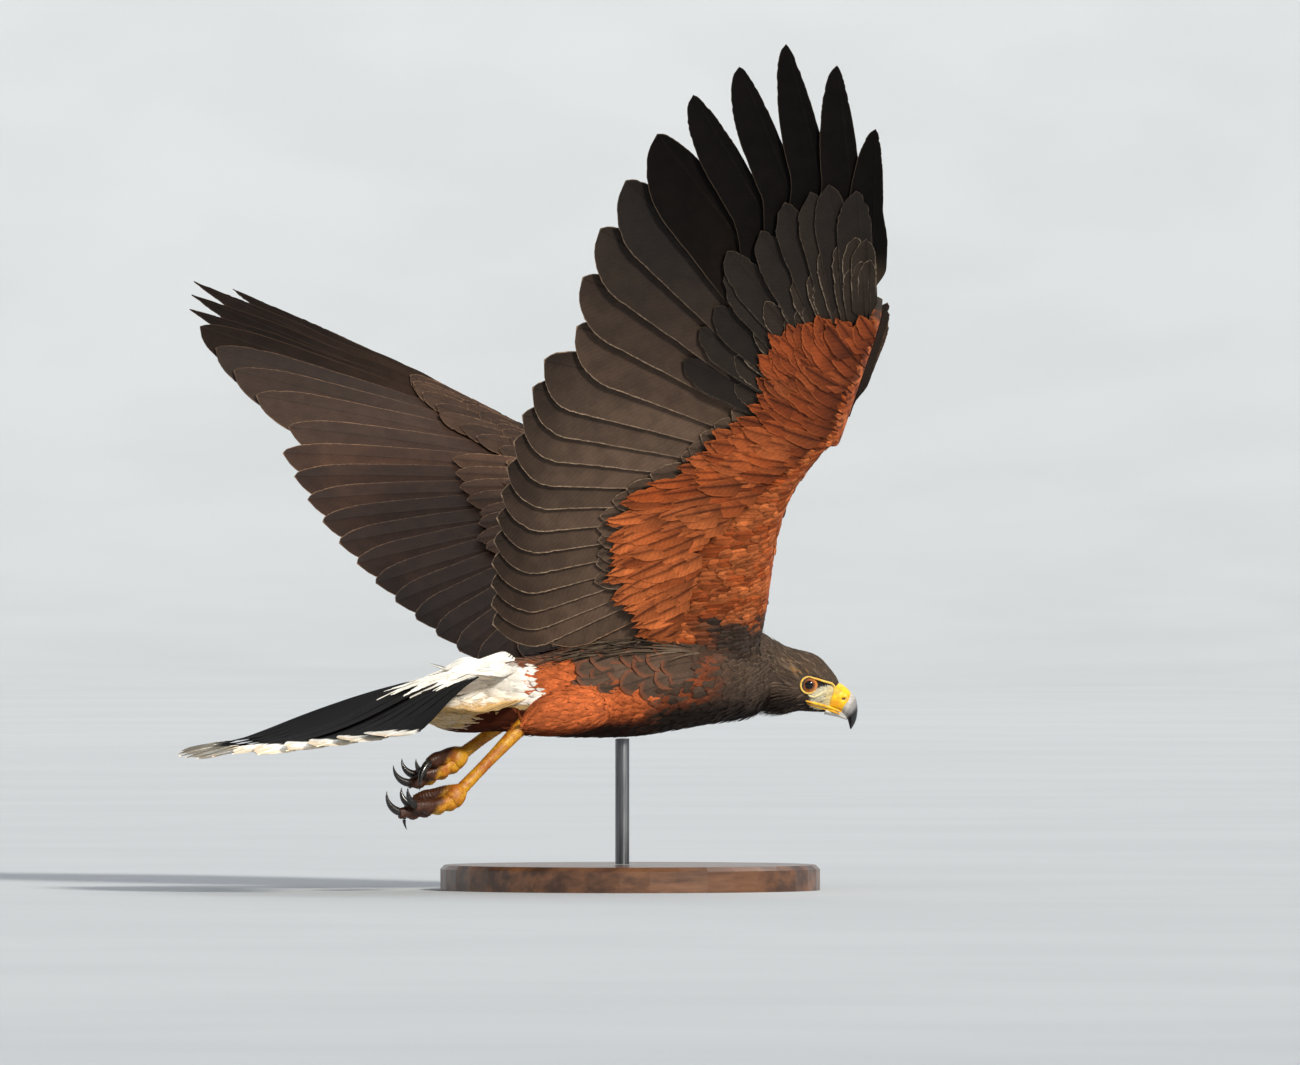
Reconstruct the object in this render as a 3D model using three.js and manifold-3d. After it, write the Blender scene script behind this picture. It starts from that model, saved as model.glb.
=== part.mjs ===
// Life-size still model of a harris hawk in flight, held by a plain display stand.
// Millimetres, +Z up, +X towards the bill, +Y towards the bird's left.
// The origin is the middle of the stand's underside.
import * as THREE from 'three';
import Module from 'manifold-3d';

const wasm = await Module();
wasm.setup();

// Clearances and feather stock
const GAP = 0.35; // air between parts that touch
const VANE = 0.6; // thickness of a flight or tail feather
const COVERT = 0.55; // thickness of a covert
const LOUVRE = 6; // degrees that each vane tilts about its shaft, so that it clears the next

// The body's long sections: place of the middle (x, y, z), half width, rise above and drop
// below the middle, turn to the right and pitch downwards in degrees
const BODY = [
  [-120, 0, 143, 17, 22, 31, 0, 0],
  [-97, 0, 144, 27, 22, 33, 0, 0],
  [-66, 0, 142, 36, 27, 34, 0, 0],
  [-30, 0, 144, 43, 37, 37, 0, 0],
  [5, 0, 148, 47, 40, 40, 0, 0],
  [40, 0, 152, 47, 38, 39, 0, 0],
  [72, 0, 154, 42, 35, 36, 2, 2],
  [96, 0, 154, 34, 31, 33, 11, 8],
  [112.6, -0.8, 152.6, 24.5, 23, 27.5, 24, 20],
];
const SPINE_TORSO = 1.3; // places along the list of sections where the body is parted
const SPINE_NECK = 6.75;
const SPINE_HEAD = 8;
const JOINT = 0.022; // the gap there, as a part of the step from one section to the next

// The head, turned to the bird's right and pitched down; its own axes run forward, left and up
const HEAD_AT = [128.5, -7.8, 142];
const HEAD_TURN = 24;
const HEAD_PITCH = 20;
// distance forward, height of the middle, half width, rise and drop
const HEAD = [
  [-20, 4, 24.5, 23, 27.5],
  [-8, 4.5, 22.5, 23.5, 24.5],
  [4, 5, 19.5, 22.5, 20],
  [14, 4, 16.5, 18.8, 16],
  [21, 3, 12.5, 15.3, 12.8],
  [25, 2.2, 9.8, 12.4, 11],
];
const EYE = { forward: 5.3, side: 13, up: 5.6, radius: 7 };
const LID = { ring: 5.9, bar: 1.1, side: 18.3 };
const BROW = { from: [0.5, 17.6, 12], to: [21.5, 10.8, 11.6], thick: 2.7, thin: 1.5 };
const GAPE_HEIGHT = -6.7;
const NOSTRIL = { forward: 31.4, side: 7.6, up: 4.4, radius: 1.3 };
// the cere: distance forward, top, bottom, half width
const CERE = [
  [25.4, 14, -6.5, 9.4],
  [30, 13, -6.5, 8],
  [34, 11, -6.5, 7],
];
// the upper bill from the cere to the hook: ridge (forward, up), cutting edge, half width
const BILL = [
  [34.4, 10.8, 34.4, -6.5, 6.8],
  [39.3, 8.6, 37.6, -6.7, 6],
  [43, 3, 39.9, -7.6, 4.8],
  [45, -3.6, 41.6, -9, 3.1],
  [45.4, -9, 43.2, -11.3, 1.7],
  [44.8, -13, 44.1, -13.4, 0.5],
];
// the lower bill: distance forward, top, bottom, half width
const LOWER_BILL = [
  [25.4, -7, -10.8, 7.4],
  [31, -7, -10.6, 6],
  [36, -7.4, -10, 4],
  [39, -8.6, -9.8, 2.2],
];

// Wings. Each is laid out on a chart: u runs out from the shoulder, v runs back, and the
// third number is the height above the chart on the feathers' upper side.
const SHOULDER = [72, 38, 179];
const HUMERUS = 98;
const ULNA = 112;
const HAND = 90;
const PRIMARIES = [212, 228, 240, 250, 260, 264, 260, 256, 222, 158];
const SECONDARY_FIRST = 222;
const SECONDARY_LAST = 176;
const SECONDARIES = 12;
const TERTIALS = 3;
// side, raise above level, twist that lifts the rear edge, sweep, then the directions on the
// chart of humerus, forearm and hand, and of the tenth and first primary and last secondary;
// stack is how far the outermost primary lies below the innermost one, hollow how far the
// front edge curves back between shoulder and wrist, reach the length of the flight feathers
const WINGS = {
  right: {
    side: -1, raise: 59.5, twist: 10.7, sweep: 0.8, humerus: 27, forearm: -38.9, hand: -7.4,
    tenth: 7.6, first: 71.9, last: 122.1, crowding: 1, stack: 0.4, hollow: 19, reach: 0.965,
  },
  left: {
    side: 1, raise: 36.1, twist: 1.4, sweep: 6, humerus: 20.4, forearm: -22.2, hand: 33.8,
    tenth: 34.7, first: 67.4, last: 124.6, crowding: 0.7, stack: 2.9, hollow: -8, reach: 1.03,
  },
};
const CAMBER = 3.2e-4; // droop of the rear of the wing, from CAMBER_FROM back
const CAMBER_FROM = 30;
const TIP_LIFT = 3.5e-4; // upward bend of the outer wing, from TIP_FROM outwards
const TIP_FROM = 270;

// Tail
const TAIL_ROOT = [-127, 0, 155];
const TAIL_SLOPE = 16.5;
const TAIL_TURN = 9; // towards the bird's right
const TAIL_SAG = 7; // midway along
const TAIL_PAIRS = 6;
const TAIL_SPREAD = 40.7; // degrees of each edge of the fan from its middle
const TAIL_LENGTH = 215;
const TAIL_OUTER_LENGTH = 206;

// Legs: ankle and foot joint, then the directions below level of the toes and of the hind toe,
// the length of the middle toe and the bend of the hind claw
const LEGS = {
  right: {
    side: -1, ankle: [-99.5, -30, 114.5], foot: [-149, -30, 66.5], toes: 22, hind: 8,
    toeLength: 42, hindCurl: -55,
  },
  left: {
    side: 1, ankle: [-86, 27, 119], foot: [-123, 27, 93.7], toes: 34, hind: 2,
    toeLength: 37, hindCurl: -75,
  },
};
const HIP = [-46, 30, 131];
const THIGH = [10, 19, 17, 7]; // radii from inside the belly to the ankle
const HIND_LENGTH = 29;
const CLAW_LENGTH = 20;
const FOOT_NECK = 8; // how far above its joint the foot meets the shank
const CLAW_ROOT = 2.5; // how far a claw is set into its toe

// Stand
const BASE_RADIUS = 135;
const BASE_HEIGHT = 18;
const BASE_EDGE = 3;
const ROD_RADIUS = 5;
const ROD_X = -6;
const ROD_TOP = 122; // before it is cut clear of the belly

const rad = THREE.MathUtils.degToRad;
const lerp = THREE.MathUtils.lerp;
const smooth = THREE.MathUtils.smoothstep;
const vec = (x, y, z) => new THREE.Vector3(x, y, z);

const LOOKS = {
  dark: { color: 0x4a3c36, roughness: 0.8 },
  rufous: { color: 0xa85428, roughness: 0.8 },
  flight: { color: 0x574a42, roughness: 0.7 },
  white: { color: 0xece4d8, roughness: 0.85 },
  black: { color: 0x262221, roughness: 0.7 },
  yellow: { color: 0xe0a41e, roughness: 0.5 },
  bill: { color: 0x8c8c88, roughness: 0.35 },
  claw: { color: 0x141414, roughness: 0.3 },
  eye: { color: 0x6a3418, roughness: 0.1 },
  wood: { color: 0x5b3a24, roughness: 0.5 },
  steel: { color: 0x9a9c9e, roughness: 0.35, metalness: 1 },
};
const materials = {};
for (const [name, look] of Object.entries(LOOKS)) {
  materials[name] = new THREE.MeshStandardMaterial(look);
}

const model = new THREE.Group();

// Solids

function solidOf(points, triangles) {
  let volume = 0;
  for (const [a, b, c] of triangles) {
    volume += points[a].dot(points[b].clone().cross(points[c]));
  }
  const order = volume < 0 ? triangles.map(([a, b, c]) => [a, c, b]) : triangles;
  const vertProperties = new Float32Array(points.flatMap((p) => p.toArray()));
  const triVerts = new Uint32Array(order.flat());
  return new wasm.Manifold(new wasm.Mesh({ numProp: 3, vertProperties, triVerts }));
}

// A closed solid through rings of equal count, closed by a fan at each end
function loft(rings) {
  const count = rings[0].length;
  const last = rings.length - 1;
  const points = rings.flat();
  const triangles = [];
  for (let i = 0; i < last; i++) {
    for (let j = 0; j < count; j++) {
      const a = i * count + j;
      const b = i * count + ((j + 1) % count);
      triangles.push([a, b, b + count], [a, b + count, a + count]);
    }
  }
  for (const end of [0, last]) {
    const middle = vec(0, 0, 0);
    for (const p of rings[end]) middle.addScaledVector(p, 1 / count);
    const hub = points.push(middle) - 1;
    for (let j = 0; j < count; j++) {
      const a = end * count + j;
      const b = end * count + ((j + 1) % count);
      triangles.push(end === 0 ? [hub, b, a] : [hub, a, b]);
    }
  }
  return solidOf(points, triangles);
}

// A round limb along a curve through the given points, with a radius for each of them
function limb(points, radii, sides = 8, steps = 2 * (points.length - 1)) {
  const curve = new THREE.CatmullRomCurve3(points);
  const sizes = new THREE.CatmullRomCurve3(radii.map((r) => vec(r, 0, 0)));
  const frames = curve.computeFrenetFrames(steps, false);
  const rings = [];
  for (let i = 0; i <= steps; i++) {
    const t = i / steps;
    const middle = curve.getPoint(t);
    const radius = sizes.getPoint(t).x;
    const ring = [];
    for (let j = 0; j < sides; j++) {
      const turn = (2 * Math.PI * j) / sides;
      const spoke = frames.normals[i].clone().multiplyScalar(radius * Math.cos(turn));
      spoke.addScaledVector(frames.binormals[i], radius * Math.sin(turn));
      ring.push(middle.clone().add(spoke));
    }
    rings.push(ring);
  }
  return loft(rings);
}

function fuse(solids) {
  return solids.reduce((whole, piece) => whole.add(piece));
}

function largest(solid) {
  const pieces = solid.decompose();
  return pieces.reduce((best, piece) => (piece.volume() > best.volume() ? piece : best));
}

function solidFromGeometry(geometry, matrix) {
  const source = geometry.index ? geometry : geometry.clone();
  const position = source.attributes.position;
  const points = [];
  const seen = new Map();
  const places = [];
  for (let i = 0; i < position.count; i++) {
    const p = vec(position.getX(i), position.getY(i), position.getZ(i));
    const key = p.toArray().map((x) => Math.round(x * 1e4)).join();
    if (!seen.has(key)) seen.set(key, points.push(p.applyMatrix4(matrix)) - 1);
    places.push(seen.get(key));
  }
  const corners = source.index ? [...source.index.array] : places.map((_, i) => i);
  const triangles = [];
  for (let i = 0; i < corners.length; i += 3) {
    const [a, b, c] = [0, 1, 2].map((k) => places[corners[i + k]]);
    if (a !== b && b !== c && c !== a) triangles.push([a, b, c]);
  }
  return solidOf(points, triangles);
}

function addMesh(name, solid, look) {
  const { vertProperties, triVerts } = solid.getMesh();
  const geometry = new THREE.BufferGeometry();
  geometry.setAttribute('position', new THREE.BufferAttribute(vertProperties, 3));
  geometry.setIndex(new THREE.BufferAttribute(triVerts, 1));
  geometry.computeVertexNormals();
  const mesh = new THREE.Mesh(geometry, materials[look]);
  mesh.name = name;
  model.add(mesh);
}

// Body

function axes(turn, pitch) {
  const forward = vec(
    Math.cos(rad(turn)) * Math.cos(rad(pitch)),
    -Math.sin(rad(turn)) * Math.cos(rad(pitch)),
    -Math.sin(rad(pitch)),
  );
  const left = vec(Math.sin(rad(turn)), Math.cos(rad(turn)), 0);
  return { forward, left, up: forward.clone().cross(left) };
}

function oval(middle, { left, up }, half, rise, drop, sides) {
  const ring = [];
  for (let j = 0; j < sides; j++) {
    const turn = (2 * Math.PI * j) / sides;
    const height = Math.sin(turn);
    const p = middle.clone().addScaledVector(left, half * Math.cos(turn));
    ring.push(p.addScaledVector(up, height > 0 ? rise * height : drop * height));
  }
  return ring;
}

const bodyMiddle = new THREE.CatmullRomCurve3(BODY.map((s) => vec(s[0], s[1], s[2])));
const bodySize = new THREE.CatmullRomCurve3(BODY.map((s) => vec(s[3], s[4], s[5])));
const bodyTurn = new THREE.CatmullRomCurve3(BODY.map((s) => vec(s[6], s[7], 0)));

function bodySection(place, grow, sides) {
  const t = place / (BODY.length - 1);
  const size = bodySize.getPoint(t).addScalar(grow);
  const { x: turn, y: pitch } = bodyTurn.getPoint(t);
  return oval(bodyMiddle.getPoint(t), axes(turn, pitch), size.x, size.y, size.z, sides);
}

function bodyPiece(from, to, steps, grow = 0, sides = 24) {
  const rings = [];
  for (let i = 0; i <= steps; i++) {
    rings.push(bodySection(lerp(from, to, i / steps), grow, sides));
  }
  return loft(rings);
}

const torso = bodyPiece(SPINE_TORSO + JOINT, SPINE_NECK, 12);
const neck = bodyPiece(SPINE_NECK + JOINT, SPINE_HEAD - JOINT, 4);
const bodyRoom = bodyPiece(0, SPINE_HEAD, 18, GAP);

// Head

const headAxes = axes(HEAD_TURN, HEAD_PITCH);
const headAt = (forward, left, up) => vec(...HEAD_AT)
  .addScaledVector(headAxes.forward, forward)
  .addScaledVector(headAxes.left, left)
  .addScaledVector(headAxes.up, up);
const headMatrix = (forward, left, up) => new THREE.Matrix4()
  .makeBasis(headAxes.forward, headAxes.left, headAxes.up)
  .setPosition(headAt(forward, left, up));

function headRings(sections, sides, grow = 0) {
  return sections.map(([forward, height, half, rise, drop]) => (
    oval(headAt(forward, 0, height), headAxes, half + grow, rise + grow, drop + grow, sides)));
}

function smoothSections(sections, steps) {
  const width = sections[0].length;
  const curves = [];
  for (let k = 0; k < width; k++) {
    curves.push(new THREE.CatmullRomCurve3(sections.map((s) => vec(s[k], 0, 0))));
  }
  const smoothed = [];
  for (let i = 0; i <= steps; i++) smoothed.push(curves.map((c) => c.getPoint(i / steps).x));
  return smoothed;
}

function billRings(sections, sides) {
  return sections.map(([forward, top, bottom, half]) => {
    const middle = (top + bottom) / 2;
    return oval(headAt(forward, 0, middle), headAxes, half, top - middle, middle - bottom, sides);
  });
}

function hookRings(sections, sides) {
  return sections.map(([ridgeForward, ridgeUp, edgeForward, edgeUp, half]) => {
    const ridge = headAt(ridgeForward, 0, ridgeUp);
    const edge = headAt(edgeForward, 0, edgeUp);
    const middle = ridge.clone().lerp(edge, 0.5);
    const up = ridge.clone().sub(middle);
    const length = up.length();
    up.normalize();
    return oval(middle, { left: headAxes.left, up }, half, length, length, sides);
  });
}

function buildHead() {
  const skull = loft(headRings(smoothSections(HEAD, 8), 20));
  const trimmed = [];
  let head = skull;
  for (const side of [1, -1]) {
    const lidTurn = new THREE.Matrix4().makeRotationX(Math.PI / 2);
    const lid = solidFromGeometry(
      new THREE.TorusGeometry(LID.ring, LID.bar, 5, 12),
      headMatrix(EYE.forward, side * LID.side, EYE.up).multiply(lidTurn),
    );
    const browPoints = [0, 0.33, 0.66, 1].map((t) => headAt(
      lerp(BROW.from[0], BROW.to[0], t),
      side * lerp(BROW.from[1], BROW.to[1], t),
      lerp(BROW.from[2], BROW.to[2], t),
    ));
    const brow = limb(browPoints, [1.2, BROW.thick, BROW.thick, BROW.thin], 6, 4);
    trimmed.push(lid, brow);
  }
  head = fuse([head, ...trimmed]);
  for (const side of [1, -1]) {
    const socket = new THREE.SphereGeometry(EYE.radius + GAP, 12, 8);
    head = head.subtract(solidFromGeometry(
      socket, headMatrix(EYE.forward, side * EYE.side, EYE.up)));
    const groove = new THREE.BoxGeometry(20, 6, 0.8);
    const along = new THREE.Matrix4().makeRotationZ(-side * rad(25));
    head = head.subtract(solidFromGeometry(
      groove, headMatrix(17, side * 17.3, GAPE_HEIGHT).multiply(along)));
    const eye = solidFromGeometry(
      new THREE.SphereGeometry(EYE.radius, 12, 8),
      headMatrix(EYE.forward, side * EYE.side, EYE.up),
    );
    addMesh(side > 0 ? 'eye_left' : 'eye_right', eye, 'eye');
  }
  addMesh('head', largest(head), 'dark');

  let cere = loft(billRings(CERE, 14));
  for (const side of [1, -1]) {
    cere = cere.subtract(solidFromGeometry(
      new THREE.SphereGeometry(NOSTRIL.radius, 8, 6),
      headMatrix(NOSTRIL.forward, side * NOSTRIL.side, NOSTRIL.up),
    ));
  }
  addMesh('cere', largest(cere), 'yellow');
  addMesh('beak_upper', loft(hookRings(smoothSections(BILL, 10), 14)), 'bill');
  addMesh('beak_lower', loft(billRings(smoothSections(LOWER_BILL, 5), 12)), 'bill');
}

// Feathers

// Width of a vane at a fraction of its length, against its full width: a bare quill, the
// blade, and the narrow finger past the notch that the outer primaries have
function vaneWidth(t, quill, notch) {
  const root = lerp(0.13, 1, smooth(t, quill, quill + QUILL_FLARE));
  const finger = 1 - 0.45 * smooth(t, notch, notch + 0.13);
  const tipStart = 0.84;
  const tip = t > tipStart ? Math.sqrt(1 - 0.93 * ((t - tipStart) / (1 - tipStart)) ** 2) : 1;
  return root * finger * tip;
}

const QUILL_FLARE = 0.14;
const PLAIN_STEPS = [0.5, 0.84, 0.95, 1];
const FINGER_STEPS = [0.5, 0.63, 0.84, 0.95, 1];
const SHORT_STEPS = [0.86, 1];

// One vane on a chart: a thin strip whose upper and lower faces are split alike
function vane(chart, feather) {
  const { u, v, angle, length, lead, trail, height, thick = VANE, bend = 0 } = feather;
  const { notch = 1, quill = 0.06, tilt = LOUVRE, steps: blade = PLAIN_STEPS } = feather;
  const steps = [0, quill, quill + QUILL_FLARE, ...blade];
  const out = [Math.cos(rad(angle)), Math.sin(rad(angle))];
  const back = [-out[1], out[0]];
  const points = [];
  for (const t of steps) {
    const width = vaneWidth(t, quill, notch);
    const drift = bend * length * t * t;
    for (const [across, face] of [[-lead, 1], [trail, 1], [trail, -1], [-lead, -1]]) {
      const d = across * width;
      points.push(chart(
        u + out[0] * length * t + back[0] * (d + drift),
        v + out[1] * length * t + back[1] * (d + drift),
        height - d * Math.tan(rad(tilt)) + (face * thick) / 2,
      ));
    }
  }
  const triangles = [[0, 2, 1], [0, 3, 2]];
  for (let i = 0; i + 1 < steps.length; i++) {
    const a = 4 * i;
    triangles.push([a, a + 1, a + 5], [a, a + 5, a + 4]);
    triangles.push([a + 1, a + 2, a + 6], [a + 1, a + 6, a + 5]);
    triangles.push([a + 3, a + 6, a + 2], [a + 3, a + 7, a + 6]);
    triangles.push([a, a + 4, a + 7], [a, a + 7, a + 3]);
  }
  const end = 4 * (steps.length - 1);
  triangles.push([end, end + 1, end + 2], [end, end + 2, end + 3]);
  return solidOf(points, triangles);
}

// Wings

function wingChart({ side, raise, twist, sweep }) {
  const raised = rad(raise);
  const back = vec(-1, 0, 0);
  const out = vec(0, side * Math.cos(raised), Math.sin(raised));
  const above = vec(0, -side * Math.sin(raised), Math.cos(raised));
  const rear = back.clone().multiplyScalar(Math.cos(rad(twist)));
  rear.addScaledVector(above, Math.sin(rad(twist)));
  const normal = above.clone().multiplyScalar(Math.cos(rad(twist)));
  normal.addScaledVector(back, -Math.sin(rad(twist)));
  const v = rear.clone().multiplyScalar(Math.cos(rad(sweep)));
  v.addScaledVector(out, -Math.sin(rad(sweep)));
  const u = out.clone().multiplyScalar(Math.cos(rad(sweep)));
  u.addScaledVector(rear, Math.sin(rad(sweep)));
  const shoulder = vec(SHOULDER[0], side * SHOULDER[1], SHOULDER[2]);
  return (a, b, height) => {
    const droop = CAMBER * Math.max(0, b - CAMBER_FROM) ** 2;
    const lift = TIP_LIFT * Math.max(0, a - TIP_FROM) ** 2;
    const p = shoulder.clone().addScaledVector(u, a).addScaledVector(v, b);
    return p.addScaledVector(normal, height - droop + lift);
  };
}

const step = ([u, v], angle, length) => [
  u + length * Math.cos(rad(angle)), v + length * Math.sin(rad(angle)),
];
const between = (a, b, t) => [lerp(a[0], b[0], t), lerp(a[1], b[1], t)];

function wingJoints(wing) {
  const shoulder = [0, 0];
  const elbow = step(shoulder, wing.humerus, HUMERUS);
  const wrist = step(elbow, wing.forearm, ULNA);
  const tip = step(wrist, wing.hand, HAND);
  return { shoulder, elbow, wrist, tip };
}

// A flat-bottomed wing section from a front to a rear point of the chart
const SECTION = [[0.05, 0.55], [0.22, 1], [0.55, 0.85], [1, 0.28]];
function wingSection(chart, front, rear, rise, drop) {
  const ring = [chart(front[0], front[1], 0)];
  for (const [t, part] of SECTION) ring.push(chart(...between(front, rear, t), rise * part));
  for (const [t, part] of [...SECTION].reverse()) {
    ring.push(chart(...between(front, rear, t), -drop * part));
  }
  return ring;
}

const offset = ([u, v], du, dv) => [u + du, v + dv];
const FRONT = 13; // flesh in front of the joints
const REAR = 10; // and behind them
const WRIST_REACH = 16; // feathers rooted this near the wrist pass beside the other part's flesh
const ARM_RISE = 9.8;
const ARM_DROP = 11.5;

function armFlesh(chart, { shoulder, elbow, wrist }, wing) {
  const steps = 6;
  const rings = [];
  const frontRoot = offset(shoulder, -14, -FRONT);
  const rearRoot = offset(shoulder, -14, 62);
  const rearElbow = offset(elbow, 2, 15);
  const frontWrist = offset(wrist, 0, -FRONT);
  const rearWrist = offset(wrist, 3, REAR);
  for (let i = 0; i <= steps; i++) {
    const t = i / steps;
    const hollow = wing.hollow * Math.sin(Math.PI * t ** 1.6);
    const front = offset(between(frontRoot, frontWrist, t), 0, hollow);
    const rear = t < 0.5 ? between(rearRoot, rearElbow, 2 * t)
      : between(rearElbow, rearWrist, 2 * t - 1);
    rings.push(wingSection(chart, front, rear, lerp(ARM_RISE, 8, t), lerp(ARM_DROP, 8.5, t)));
  }
  return loft(rings);
}

const stackHeight = (wing, t) => -wing.stack * t * t;

// The hand's sections: place from wrist to tip, reach ahead and behind, rise and drop
const HAND_SECTIONS = [
  [0, 13, 10, 7.8, 8.3],
  [0.3, 12, 9.4, 7.2, 7.7],
  [0.65, 11, 8.6, 6.4, 6.9],
  [1, 9.5, 8, 5.3, 5.8],
  [1.25, 5.5, 4, 2, 2.2],
];
function handFlesh(chart, { wrist, tip }, wing) {
  return loft(HAND_SECTIONS.map(([t, ahead, behind, rise, drop]) => {
    const middle = between(wrist, tip, t);
    const front = offset(middle, GAP, -ahead);
    const rear = offset(middle, 3 + GAP, behind);
    const lowered = (u, v, height) => chart(u, v, height + stackHeight(wing, t));
    return wingSection(lowered, front, rear, rise, drop);
  }));
}

function primaryAngle(wing, k) {
  return lerp(wing.first, wing.tenth, ((k - 1) / 9) ** wing.crowding);
}

function secondaryAngle(wing, k) {
  return lerp(wing.first + 6, wing.last, (k - 1) / (SECONDARIES - 1));
}

function primaryFeathers(wing, { wrist, tip }) {
  return PRIMARIES.map((full, i) => {
    const length = full * wing.reach;
    const [u, v] = between(wrist, tip, (i + 0.5) / 10);
    const notch = i >= 5 ? 0.5 : 1;
    const steps = i >= 5 ? FINGER_STEPS : PLAIN_STEPS;
    const outer = i === 9 ? 0.9 : 1;
    return {
      u, v, angle: primaryAngle(wing, i + 1), length, lead: 12 * outer, trail: 33 * outer,
      height: stackHeight(wing, i / 9), notch, steps, quill: 0.07 + 0.011 * i,
    };
  });
}

function secondaryFeathers(wing, { wrist, elbow }) {
  const feathers = [];
  for (let k = 1; k <= SECONDARIES; k++) {
    const [u, v] = between(wrist, elbow, (k - 0.5) / SECONDARIES);
    const full = lerp(SECONDARY_FIRST, SECONDARY_LAST, (k - 1) / (SECONDARIES - 1));
    const length = full * wing.reach;
    const angle = secondaryAngle(wing, k);
    feathers.push({ u, v, angle, length, lead: 12, trail: 32, height: 0 });
  }
  return feathers;
}

function tertialFeathers(wing, { shoulder, elbow }) {
  const feathers = [];
  for (let k = 1; k <= TERTIALS; k++) {
    const [u, v] = between(elbow, shoulder, (k - 0.4) / (TERTIALS + 1));
    const angle = wing.last + 2.5 * k;
    feathers.push({ u, v, angle, length: 160 - 27 * k, lead: 12, trail: 24, height: 0 });
  }
  return feathers;
}

const COVERT_QUILL = 0.2;

// A tier of coverts over the arm, on the upper side (1) or the under side (-1)
function armCoverts(wing, { wrist, elbow }, { count, length, height, ahead, width }) {
  const feathers = [];
  for (let k = 0; k < count; k++) {
    const t = (k + 0.5) / count;
    const [u, v] = between(wrist, elbow, t);
    const angle = lerp(wing.first + 6, wing.last, t);
    const root = step([u, v], angle + 180, ahead);
    feathers.push({
      u: root[0], v: root[1], angle, length: length + ahead, lead: 0.32 * width,
      trail: 0.68 * width, height, thick: COVERT, steps: SHORT_STEPS, quill: COVERT_QUILL,
    });
  }
  return feathers;
}

function handCoverts(wing, { wrist, tip }, { count, length, height, ahead, width }) {
  const feathers = [];
  for (let k = 0; k < count; k++) {
    const t = (0.93 * (k + 0.5)) / count;
    const [u, v] = between(wrist, tip, t);
    const angle = primaryAngle(wing, 1 + 9 * t);
    const root = step([u, v], angle + 180, ahead * (1 - 0.4 * t));
    feathers.push({
      u: root[0], v: root[1], angle, length: length * (1 - 0.15 * t) + ahead,
      lead: 0.32 * width, trail: 0.68 * width, height: height + stackHeight(wing, t),
      thick: COVERT, steps: SHORT_STEPS, quill: COVERT_QUILL,
    });
  }
  return feathers;
}

function alula(wing, { wrist }) {
  return [0, 1, 2].map((k) => ({
    u: wrist[0] + 4 + 6 * k, v: wrist[1] - 5 - k, angle: wing.hand + 9 - 5 * k,
    length: 62 - 12 * k, lead: 5, trail: 12, height: 6.4 + k, thick: COVERT,
    steps: SHORT_STEPS, tilt: 3,
  }));
}

const ARM_TIERS = [
  { count: 8, length: 74, height: 4.2, ahead: 3, width: 29 },
  { count: 5, length: 36, height: 7.5, ahead: 9, width: 24 },
  { count: 8, length: 82, height: -5.4, ahead: 3, width: 29 },
  { count: 5, length: 42, height: -9, ahead: 9, width: 24 },
];
const HAND_TIERS = [
  { count: 7, length: 78, height: 4.2, ahead: 4, width: 26 },
  { count: 7, length: 84, height: -5.4, ahead: 4, width: 26 },
];

// The same vane with the clearance that a neighbour keeps to it
function vaneRoom(feather) {
  const { lead, trail, thick = VANE } = feather;
  return { ...feather, lead: lead + GAP, trail: trail + GAP, thick: thick + 2 * GAP };
}

function nextToWrist(feathers, { wrist }) {
  return feathers.filter(({ u, v }) => Math.hypot(u - wrist[0], v - wrist[1]) < WRIST_REACH);
}

function buildWing(name, wing) {
  const chart = wingChart(wing);
  const joints = wingJoints(wing);
  const arm = [...secondaryFeathers(wing, joints), ...tertialFeathers(wing, joints)];
  for (const tier of ARM_TIERS) arm.push(...armCoverts(wing, joints, tier));
  const hand = [...primaryFeathers(wing, joints), ...alula(wing, joints)];
  for (const tier of HAND_TIERS) hand.push(...handCoverts(wing, joints, tier));
  const cutFor = (flesh, feathers) => flesh.subtract(
    fuse(feathers.map((f) => vane(chart, vaneRoom(f)))));
  const armBody = cutFor(armFlesh(chart, joints, wing), nextToWrist(hand, joints));
  const handBody = cutFor(handFlesh(chart, joints, wing), nextToWrist(arm, joints));
  const armSolid = fuse([armBody, ...arm.map((f) => vane(chart, f))]);
  const handSolid = fuse([handBody, ...hand.map((f) => vane(chart, f))]);
  addMesh(`wing_${name}_arm`, largest(armSolid.subtract(bodyRoom)), 'rufous');
  addMesh(`wing_${name}_hand`, largest(handSolid), 'flight');
}

// Tail

// The tail's chart: u runs back along its middle, v to the bird's left
function tailChart(u, v, height) {
  const slope = rad(TAIL_SLOPE);
  const turn = rad(TAIL_TURN);
  const back = u * Math.cos(turn) + v * Math.sin(turn);
  const aside = v * Math.cos(turn) - u * Math.sin(turn);
  const along = THREE.MathUtils.clamp((u - 30) / 190, 0, 1);
  const raised = height - TAIL_SAG * Math.sin(Math.PI * along) ** 2;
  return vec(
    TAIL_ROOT[0] - back * Math.cos(slope) - raised * Math.sin(slope),
    TAIL_ROOT[1] + aside,
    TAIL_ROOT[2] - back * Math.sin(slope) + raised * Math.cos(slope),
  );
}

// Charts of the coverts over and under the tail's root: they leave the rump and close on the
// tail's plane
const COVERTS_FROM = 32; // how far ahead of the tail's root they start
function upperCovertChart(u, v, height) {
  const start = 3 - 0.03 * Math.min(v * v, 400);
  const hump = 4.5 * smooth(u, 18, 28) * (1 - smooth(u, 32, 52));
  const rise = lerp(start, 4.2, smooth(u, 20, 50)) + hump;
  return tailChart(u - COVERTS_FROM, v, height + rise);
}
function lowerCovertChart(u, v, height) {
  const drop = lerp(27, 8.5, smooth(u, 45, 95));
  return tailChart(u - COVERTS_FROM, v, height - drop);
}

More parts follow.
